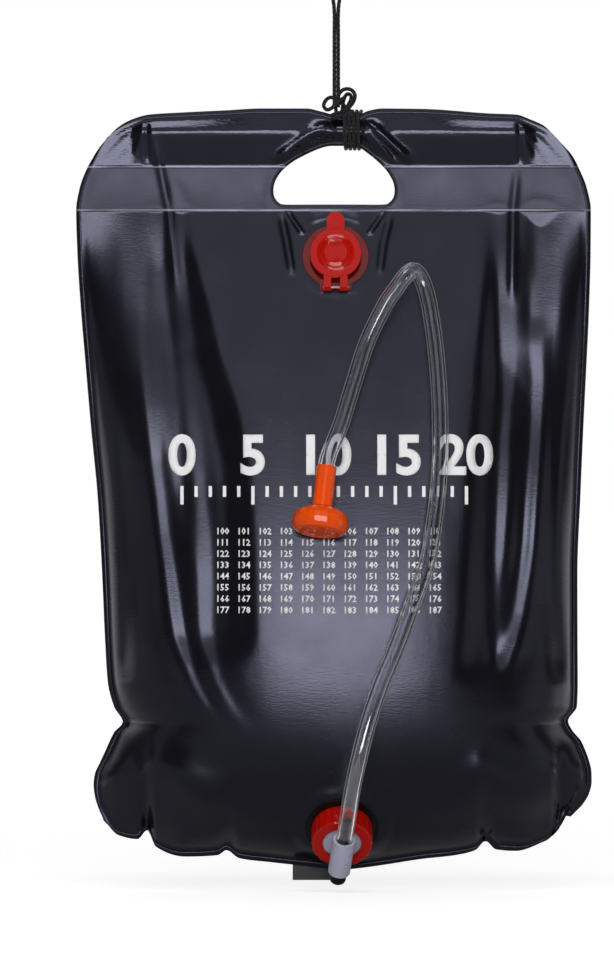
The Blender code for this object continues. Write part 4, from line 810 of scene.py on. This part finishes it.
def flat_numbers(text, height, centre_x, base_z, boldness, roundness):
    """A line of numbers as a flat mesh in the print's own plane, as wide and high as on the film."""
    curve = bpy.data.curves.new("numbers", "FONT")
    curve.body = text
    curve.size = height / 0.73
    curve.offset = boldness
    curve.resolution_u = roundness
    curve.align_x = "CENTER"
    mesh = baked_mesh(bpy.data.objects.new("numbers", curve))
    bpy.data.curves.remove(curve)
    mesh.transform(Matrix.Translation((centre_x, base_z, 0.0)))
    return mesh


def tick_tree(material):
    """Geometry Nodes for the scale: a row of flat ticks, where every fifth is taller."""
    tree = bpy.data.node_groups.new("scale_ticks", "GeometryNodeTree")
    tree.interface.new_socket("Geometry", in_out="OUTPUT", socket_type="NodeSocketGeometry")
    for name, kind, value in (
        ("Ticks", "Int", tick_count),
        ("Left", "Float", scale_left),
        ("Spacing", "Float", (scale_right - scale_left) / (tick_count - 1)),
        ("Top", "Float", scale_top),
        ("Tick Width", "Float", 0.0026),
        ("Tick Height", "Float", 0.0085),
        ("Tall Share", "Float", 1.7),
    ):
        socket = tree.interface.new_socket(name, in_out="INPUT", socket_type="NodeSocket" + kind)
        socket.default_value = value
    given = tree.nodes.new("NodeGroupInput").outputs

    def add(kind, sources):
        node = tree.nodes.new(kind)
        for name, source in sources.items():
            if isinstance(source, bpy.types.NodeSocket):
                tree.links.new(source, node.inputs[name])
            else:
                node.inputs[name].default_value = source
        return node.outputs[0]

    def across_up(**parts):
        return add("ShaderNodeCombineXYZ", parts)

    start = across_up(X=given["Left"], Y=given["Top"])
    offset = across_up(X=given["Spacing"])
    row = add("GeometryNodeMeshLine", {"Count": given["Ticks"], "Start Location": start, "Offset": offset})
    size = {"Size X": given["Tick Width"], "Size Y": given["Tick Height"], "Vertices X": 2, "Vertices Y": 6}
    half_down = across_up(Y=add_math(tree, "MULTIPLY", given["Tick Height"], -0.5))
    tick = add("GeometryNodeTransform", {"Geometry": add("GeometryNodeMeshGrid", size), "Translation": half_down})
    place = add_math(tree, "MODULO", add("GeometryNodeInputIndex", {}), 5.0)
    is_fifth = add_math(tree, "LESS_THAN", place, 0.5)
    taller = add_math(tree, "MULTIPLY", is_fifth, add_math(tree, "SUBTRACT", given["Tall Share"], 1.0))
    stretch = across_up(X=1.0, Y=add_math(tree, "ADD", taller, 1.0), Z=1.0)
    ticks = add("GeometryNodeInstanceOnPoints", {"Points": row, "Instance": tick, "Scale": stretch})
    real = add("GeometryNodeRealizeInstances", {"Geometry": ticks})
    inked = add("GeometryNodeSetMaterial", {"Geometry": real, "Material": material})
    tree.links.new(inked, tree.nodes.new("NodeGroupOutput").inputs["Geometry"])
    return tree


def print_on_film(name, flat_meshes, material):
    """Join flat meshes, split their long edges and lay them on the front film as ink."""
    bm = bmesh.new()
    for flat in flat_meshes:
        bm.from_mesh(flat)
        bpy.data.meshes.remove(flat)
    bmesh.ops.remove_doubles(bm, verts=bm.verts, dist=0.00002)
    bmesh.ops.triangulate(bm, faces=bm.faces)
    for turn in range(6):
        long_edges = [edge for edge in bm.edges if edge.calc_length() > 0.004]
        if not long_edges:
            break
        bmesh.ops.subdivide_edges(bm, edges=long_edges, cuts=1)
        bmesh.ops.triangulate(bm, faces=[face for face in bm.faces if len(face.verts) > 3])
    across = np.array([vert.co.x for vert in bm.verts])
    up = np.array([vert.co.y for vert in bm.verts])
    front = seam_sway(across, up) - half_gap - film_thick - front_depth(across, up) - ink_lift
    for vert, x, y, z in zip(bm.verts, across, front, up):
        vert.co = (x, y, z)
    mesh = finished_mesh(name, bm)
    mesh.materials.clear()
    thicken(add_piece(name, mesh, "bag", material), ink_thick)


white_ink, tree, shader = plain_material("white_ink", {})
cover = add_noise(tree, 60.0, 4.0)
tree.links.new(add_mix(tree, cover, (0.88, 0.88, 0.89), (0.97, 0.97, 0.98)), shader.inputs["Base Color"])
tree.links.new(add_range(tree, cover, 0.42, 0.58), shader.inputs["Roughness"])

large_numbers = []
for index in range(5):
    place = scale_left + (scale_right - scale_left) * index / 4
    large_numbers.append(flat_numbers(str(index * 5), 0.0310, place, -0.4285, 0.0014, 6))
print_on_film("print_numbers", large_numbers, white_ink)

scale_holder = bpy.data.objects.new("scale", bpy.data.meshes.new("scale"))
scale_holder.modifiers.new("ticks", "NODES").node_group = tick_tree(white_ink)
print_on_film("print_scale", [baked_mesh(scale_holder)], white_ink)

small_numbers = []
for row in range(8):
    text = "   ".join(str(number) for number in range(100 + 11 * row, 111 + 11 * row))
    small_numbers.append(flat_numbers(text, 0.0052, -0.0040, -0.4762 - 0.0088 * row, 0.00018, 1))
print_on_film("print_small_numbers", small_numbers, white_ink)

# Rim weld: where the hot bar has fused both sheets into one band of the same film, 3.4 mm wide and thickest
# near its inner side, along the bag's edge, and a narrower one round the carrying hole.
rim_width = 0.0034
rim_thick = 0.0026
hole_weld_thick = 0.0021


def weld_band(name, outer, inner, thickness, edge):
    """A closed flat band between two outlines of the seam plane, with a rounded outer edge."""
    bm = bmesh.new()
    rings = []
    half = thickness / 2
    # Share of the width, then how far out in edges and how deep in half thicknesses
    section = [(0.0, 0.0, 0.55), (0.06, 0.0, 0.9), (0.16, 0.0, 1.0), (0.28, 0.0, 0.97)]
    section += [(0.65, 0.0, 0.70), (1.0, 0.0, 0.42), (1.0, 0.7, 0.26), (1.0, 1.0, 0.0)]
    for (outer_x, outer_z), (inner_x, inner_z) in zip(outer, inner):
        away = Vector((outer_x - inner_x, outer_z - inner_z)).normalized()
        sway = float(seam_sway(np.array([outer_x]), np.array([outer_z]))[0])
        ring = []
        for share, out, depth in section + [(share, out, -depth) for share, out, depth in section[-2::-1]]:
            x = inner_x + (outer_x - inner_x) * share + away.x * out * edge
            z = inner_z + (outer_z - inner_z) * share + away.y * out * edge
            ring.append(bm.verts.new((x, sway - depth * half, z)))
        rings.append(ring)
    for ring, after in zip(rings, rings[1:] + rings[:1]):
        for index in range(len(ring)):
            following = (index + 1) % len(ring)
            bm.faces.new((ring[index], after[index], after[following], ring[following])).smooth = True
    bmesh.ops.recalc_face_normals(bm, faces=bm.faces)
    return finished_mesh(name, bm)


def rim_places(row_margin, column_margin):
    """The bag's outline, or a line a margin inside it, all the way round."""
    first, last = side_table[0][0], side_table[-1][0]
    shares = [(first, share) for share in np.linspace(0, 1, 200, endpoint=False)]
    shares += [(share, 1.0) for share in np.linspace(first, last, 300, endpoint=False)]
    shares += [(last, share) for share in np.linspace(1, 0, 260, endpoint=False)]
    shares += [(share, 0.0) for share in np.linspace(last, first, 300, endpoint=False)]
    rows = np.clip([row for row, column in shares], first + row_margin, last - row_margin)
    columns = np.clip([column for row, column in shares], column_margin, 1 - column_margin)
    x, z = film_place(rows, columns)
    return list(zip(x.tolist(), z.tolist()))


rim_inside = rim_places(rim_width / bag_height, rim_width / bag_width)
rim_mesh = weld_band("rim_weld", rim_places(0.0, 0.0), rim_inside, rim_thick, 0.0005)
hole_inside = hole_outline(hole_weld_width, 120)
hole_mesh = weld_band("hole_weld", hole_outline(0.0, 120), hole_inside, hole_weld_thick, 0.0004)
for name, mesh in (("rim_weld", rim_mesh), ("hole_weld", hole_mesh)):
    add_piece(name, mesh, "bag", black_pvc)

# Fill valve: two red polyethylene mouldings, slightly translucent, with a satin face. The base is welded to
# the front film, and the cap presses into its neck and swings down on the bar at its lower edge.


def moulding(name, tones, gloss, grain, settings):
    """A moulded plastic: two tones, a range of roughness and a fine grain, each after the scale of its noise."""
    material, tree, shader = plain_material(name, settings)
    scale, dark, light = tones
    tree.links.new(add_mix(tree, add_noise(tree, scale, 2.0), dark, light), shader.inputs["Base Color"])
    scale, smooth, rough = gloss
    tree.links.new(add_range(tree, add_noise(tree, scale, 3.0), smooth, rough), shader.inputs["Roughness"])
    if grain:
        scale, strength = grain
        add_bump(tree, shader, add_noise(tree, scale, 2.0), 0.0002, strength)
    return material


def dress(material, *names):
    """Give CAD solids their finish."""
    for name in names:
        solid = bpy.data.objects[name]
        solid.data.materials.clear()
        solid.data.materials.append(material)
        for face in solid.data.polygons:
            face.material_index = 0


red_plastic = moulding(
    "red_polyethylene",
    (60.0, (0.45, 0.0040, 0.0015), (0.53, 0.0065, 0.0025)),
    (120.0, 0.09, 0.16),
    (400.0, 0.2),
    {
        "Subsurface Weight": 0.25,
        "Subsurface Radius": (0.004, 0.0008, 0.0006),
        "Subsurface Scale": 1.0,
        "Specular IOR Level": 0.28,
    },
)
clear_red = moulding(
    "clear_red_polyethylene",
    (60.0, (0.42, 0.0060, 0.0030), (0.52, 0.0100, 0.0050)),
    (120.0, 0.08, 0.16),
    (300.0, 0.3),
    {"Transmission Weight": 0.75, "IOR": 1.5},
)
dress(clear_red, "fill_flange")
dress(red_plastic, "fill_cap")

# Outlet: black polyethylene flange welded low on the front film, red ring nut with a knurled edge, rubber
# washer, milky translucent cock body with its disc, and black plug with a round nub that turns it.
black_plastic = moulding(
    "black_polyethylene",
    (80.0, (0.0015, 0.0015, 0.0019), (0.0030, 0.0030, 0.0036)),
    (150.0, 0.30, 0.40),
    (500.0, 0.3),
    {"Specular IOR Level": 0.30},
)
milky_plastic = moulding(
    "milky_polypropylene",
    (70.0, (0.56, 0.58, 0.74), (0.62, 0.64, 0.80)),
    (140.0, 0.25, 0.36),
    (450.0, 0.3),
    {
        "Subsurface Weight": 0.5,
        "Subsurface Radius": (0.003, 0.003, 0.0032),
        "Subsurface Scale": 1.0,
        "Transmission Weight": 0.15,
    },
)
rubber = moulding("rubber", (90.0, (0.012, 0.012, 0.012), (0.022, 0.022, 0.022)), (200.0, 0.6, 0.75), None, {})
dress(red_plastic, "outlet_nut")
dress(black_plastic, "outlet_flange", "outlet_plug", "outlet_barb")
dress(milky_plastic, "outlet_body")
dress(rubber, "outlet_washer", "plug_ring")

# Shower head: glossy orange mouldings. The neck holds the hose in its mouth and carries the rose on a spigot
# below, where it slides down to open the way to the holes of its plate.
orange_plastic = moulding(
    "orange_abs",
    (50.0, (0.90, 0.080, 0.002), (0.96, 0.100, 0.004)),
    (120.0, 0.08, 0.14),
    (300.0, 0.2),
    {
        "Subsurface Weight": 0.15,
        "Subsurface Radius": (0.003, 0.001, 0.0005),
        "Subsurface Scale": 1.0,
        "Specular IOR Level": 0.35,
    },
)
dress(orange_plastic, "head_stem", "rose_body", "rose_plate")
dress(rubber, "stem_ring")

# Bottom tab: a flat tab with an eyelet, of the flange's black polyethylene, heat-welded into the middle of the
# bottom seam.
dress(black_plastic, "bottom_tab")

# Rod: plain extruded plastic, 8 mm thick, loose in the sleeve between the hem and the upper weld. It keeps the
# bag's shoulders apart and lifts the film over it into a thin bright line.
rod_plastic = moulding("rod_plastic", (40.0, (0.30, 0.30, 0.31), (0.38, 0.38, 0.39)), (90.0, 0.4, 0.5), None, {})
dress(rod_plastic, "spreader_rod")

# Rope: 3 mm black braided cord. Both strands come down from the hook's loop to a bow knot on the hem, and the
# rest is wound four times round the hem, through the carrying hole.
rope_radius = 0.0015
rope_step = 0.0006
winding_start = 0.0081
winding_pitch = 0.00345
winding_turns = 4
winding_middle = -0.1578
winding_half_height = 0.0148
winding_half_depth = 0.0076
hanger_half = 0.00153
# Knot: places along the cord, in mm across, towards the back and up, from the middle of the knot
knot_route = (
    (-1.2, 2.5, -5.2), (0.0, 1.6, 3.4), (1.2, 1.3, 10.9), (3.5, 1.0, 14.2), (6.2, 0.9, 13.8),
    (6.7, 0.8, 10.5), (4.2, 0.6, 5.4), (0.4, 0.4, 0.7), (-3.9, -0.6, -0.9), (-5.4, -2.4, 3.8),
    (-4.1, -3.2, 10.9), (-1.2, -3.0, 16.4), (3.0, -2.8, 18.3), (7.3, -2.6, 17.3), (9.8, -2.5, 13.3),
    (8.4, -2.8, 7.8), (4.3, -4.2, 3.0), (-1.4, -5.8, -0.2), (-6.6, -3.4, -1.6), (-7.9, 1.0, -2.2),
    (-4.6, 4.8, -2.0), (1.4, 5.8, -1.2), (6.6, 3.4, -0.5), (7.9, -1.0, -0.7), (4.6, -4.8, -1.7),
    (-1.4, -5.8, -3.3), (-6.6, -3.4, -4.7), (-7.9, 1.0, -5.3), (-4.6, 4.8, -5.1), (1.4, 5.8, -4.3),
    (5.8, 4.8, -3.4), (7.4, 4.0, -0.8), (4.6, 4.4, 2.6), (-0.4, 4.2, 6.8), (-6.3, 3.2, 11.2),
    (-10.8, 1.6, 11.4), (-14.0, 0.2, 8.2), (-14.7, -1.4, 4.4), (-12.0, -3.2, 1.9), (-8.3, -4.6, 3.4),
    (-4.3, -5.0, 7.2), (-0.8, -5.0, 10.1), (2.4, -4.4, 11.7),
)


def rope_lay(distance, angle):
    """Radius of a braided cord: its strands cross over each other every 3.8 mm."""
    turn = math.tau * distance / 0.0076
    ridge = max(abs(math.sin(turn + 1.5 * angle)), abs(math.sin(turn - 1.5 * angle)))
    return rope_radius * (0.84 + 0.20 * ridge)


faint_fuzz = {"Specular IOR Level": 0.4, "Sheen Weight": 0.06, "Sheen Roughness": 0.5}
black_braid, tree, shader = plain_material("black_braid", faint_fuzz)
weave_map = tree.nodes.new("ShaderNodeUVMap")
weave_map.uv_map = "along_and_round"
weave_parts = tree.nodes.new("ShaderNodeSeparateXYZ")
tree.links.new(weave_map.outputs["UV"], weave_parts.inputs["Vector"])
run = add_math(tree, "MULTIPLY", weave_parts.outputs["X"], 200.0)
turn = add_math(tree, "MULTIPLY", weave_parts.outputs["Y"], math.tau * 4)
strands = [add_math(tree, "SINE", add_math(tree, way, run, turn), 0.0) for way in ("ADD", "SUBTRACT")]
weave = add_math(tree, "MAXIMUM", *strands)
# The base colour follows the strands' height: darker in the grooves between them and lighter on their crests. This
# is painted shade in the grooves and a painted highlight on the crests.
tree.links.new(add_mix(tree, weave, (0.0012, 0.0012, 0.0016), (0.010, 0.010, 0.013)), shader.inputs["Base Color"])
tree.links.new(add_range(tree, add_noise(tree, 900.0, 2.0), 0.34, 0.55), shader.inputs["Roughness"])
add_bump(tree, shader, weave, 0.0005, 1.0)

winding_places = []
for index in range(winding_turns * 48 + 1):
    angle = math.tau * index / 48
    out, up = (math.copysign(abs(part) ** (2 / 2.6), part) for part in (math.sin(angle), math.cos(angle)))
    across = winding_start + winding_pitch * index / 48
    winding_places.append((across, -winding_half_depth * out, winding_middle + winding_half_height * up))
winding_places = curve_through(winding_places, rope_step)
knot_middle = Vector((0.0071, 0.0, -0.1438))
knot_places = curve_through([Vector(place) / 1000 + knot_middle for place in knot_route], rope_step)
strand_side = [(hanger_half, -0.1400 + 0.0750 * share) for share in (0.0, 0.25, 0.5, 0.75, 1.0)]
strand_side += [(0.0030, -0.0530), (0.0075, -0.0380), (0.0130, -0.0235), (0.0140, -0.0140), (0.0101, -0.0025)]
strand_route = strand_side + [(0.0, 0.0015)] + [(-x, z) for x, z in reversed(strand_side)]
hanger_route = [(x + 0.0022 * min(1.0, max(0.0, -z / 0.055)), 0.0, z) for x, z in strand_route]
hanger_places = curve_through(hanger_route, rope_step)
for name, places, far_end, lay in (
    ("rope_winding", winding_places, "knot", "coiled"),
    ("rope_knot", knot_places, "knot", "coiled"),
    ("rope_hanger", hanger_places, "knot", "taut"),
):
    cord = add_piece(name + "_cord", swept_mesh(name + "_cord", places, 16, rope_lay), "bag", black_braid)
    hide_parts(name)

# Floor and light: the bag hangs just clear of a pale floor that runs far back to a white backdrop. A wide soft
# lamp in front, a little above the bag, draws the film's long highlights. Weaker lamps stand higher up and at
# both sides, and a small one hangs overhead.
scene = bpy.context.scene
scene.view_settings.view_transform = "Standard"
floor_mesh = bpy.data.meshes.new("floor")
floor_mesh.from_pydata([(-60, -60, 0), (60, -60, 0), (60, 90, 0), (-60, 90, 0)], [], [(0, 1, 2, 3)])
floor = bpy.data.objects.new("floor", floor_mesh)
floor.location.z = -0.7565
scene.collection.objects.link(floor)

matt = {"Base Color": (0.64, 0.63, 0.64, 1.0), "Roughness": 0.9, "Emission Color": (1.0, 1.0, 1.0, 1.0)}
pale, tree, shader = plain_material("pale_floor", matt)
rays = tree.nodes.new("ShaderNodeLightPath")
floor_back = add_axes(tree)["Y"]
behind = add_range(tree, floor_back, 0.0, 1.0, 0.2, 0.6)
mirrored = add_math(tree, "MULTIPLY", rays.outputs["Is Glossy Ray"], behind)
clear = add_math(tree, "MAXIMUM", rays.outputs["Is Camera Ray"], rays.outputs["Is Transmission Ray"])
seen = add_math(tree, "MAXIMUM", clear, mirrored)
glow = add_range(tree, floor_back, 0.70, 0.88, 0.5, 4.0)
tree.links.new(add_math(tree, "MULTIPLY", seen, glow), shader.inputs["Emission Strength"])
floor_mesh.materials.append(pale)
world = bpy.data.worlds.new("studio")
scene.world = world
world.use_nodes = True
tree = world.node_tree
world_back = add_axes(tree, "Generated")["Y"]
level = add_range(tree, world_back, 0.07, 1.0, 0.3, 0.85)
rays = tree.nodes.new("ShaderNodeLightPath")
background = tree.nodes["Background"]
background.inputs["Color"].default_value = (1.0, 1.0, 1.0, 1.0)
sides = add_range(tree, world_back, 0.0, 1.0, -0.25, 0.15)
through = add_math(tree, "MULTIPLY", rays.outputs["Is Transmission Ray"], sides)
clear = add_math(tree, "MAXIMUM", rays.outputs["Is Camera Ray"], through)
tree.links.new(add_math(tree, "MAXIMUM", level, clear), background.inputs["Strength"])


def add_area(name, place, target, width, height, radiance):
    """A soft rectangular lamp that faces a target, as bright as asked whatever its size."""
    data = bpy.data.lights.new(name, "AREA")
    data.shape = "RECTANGLE"
    data.size = width
    data.size_y = height
    data.energy = radiance * math.pi * width * height
    lamp = bpy.data.objects.new(name, data)
    lamp.location = place
    lamp.rotation_euler = (Vector(target) - Vector(place)).to_track_quat("-Z", "Y").to_euler()
    bpy.context.scene.collection.objects.link(lamp)


add_area("front_light", (0.0, -5.0, 0.28), (0.0, 0.0, 0.28), 3.0, 1.56, 8.0)
add_area("upper_light", (0.0, -4.2, 2.70), (0.0, 0.0, -0.40), 4.5, 2.8, 0.7)
add_area("left_light", (-1.8, -0.4, -0.25), (0.0, 0.0, -0.35), 0.8, 1.6, 0.25)
add_area("right_light", (1.8, -0.4, -0.25), (0.0, 0.0, -0.35), 0.8, 1.6, 0.35)
add_area("overhead_light", (-0.1, -0.9, 1.6), (0.0, 0.0, -0.45), 0.9, 0.5, 7.0)
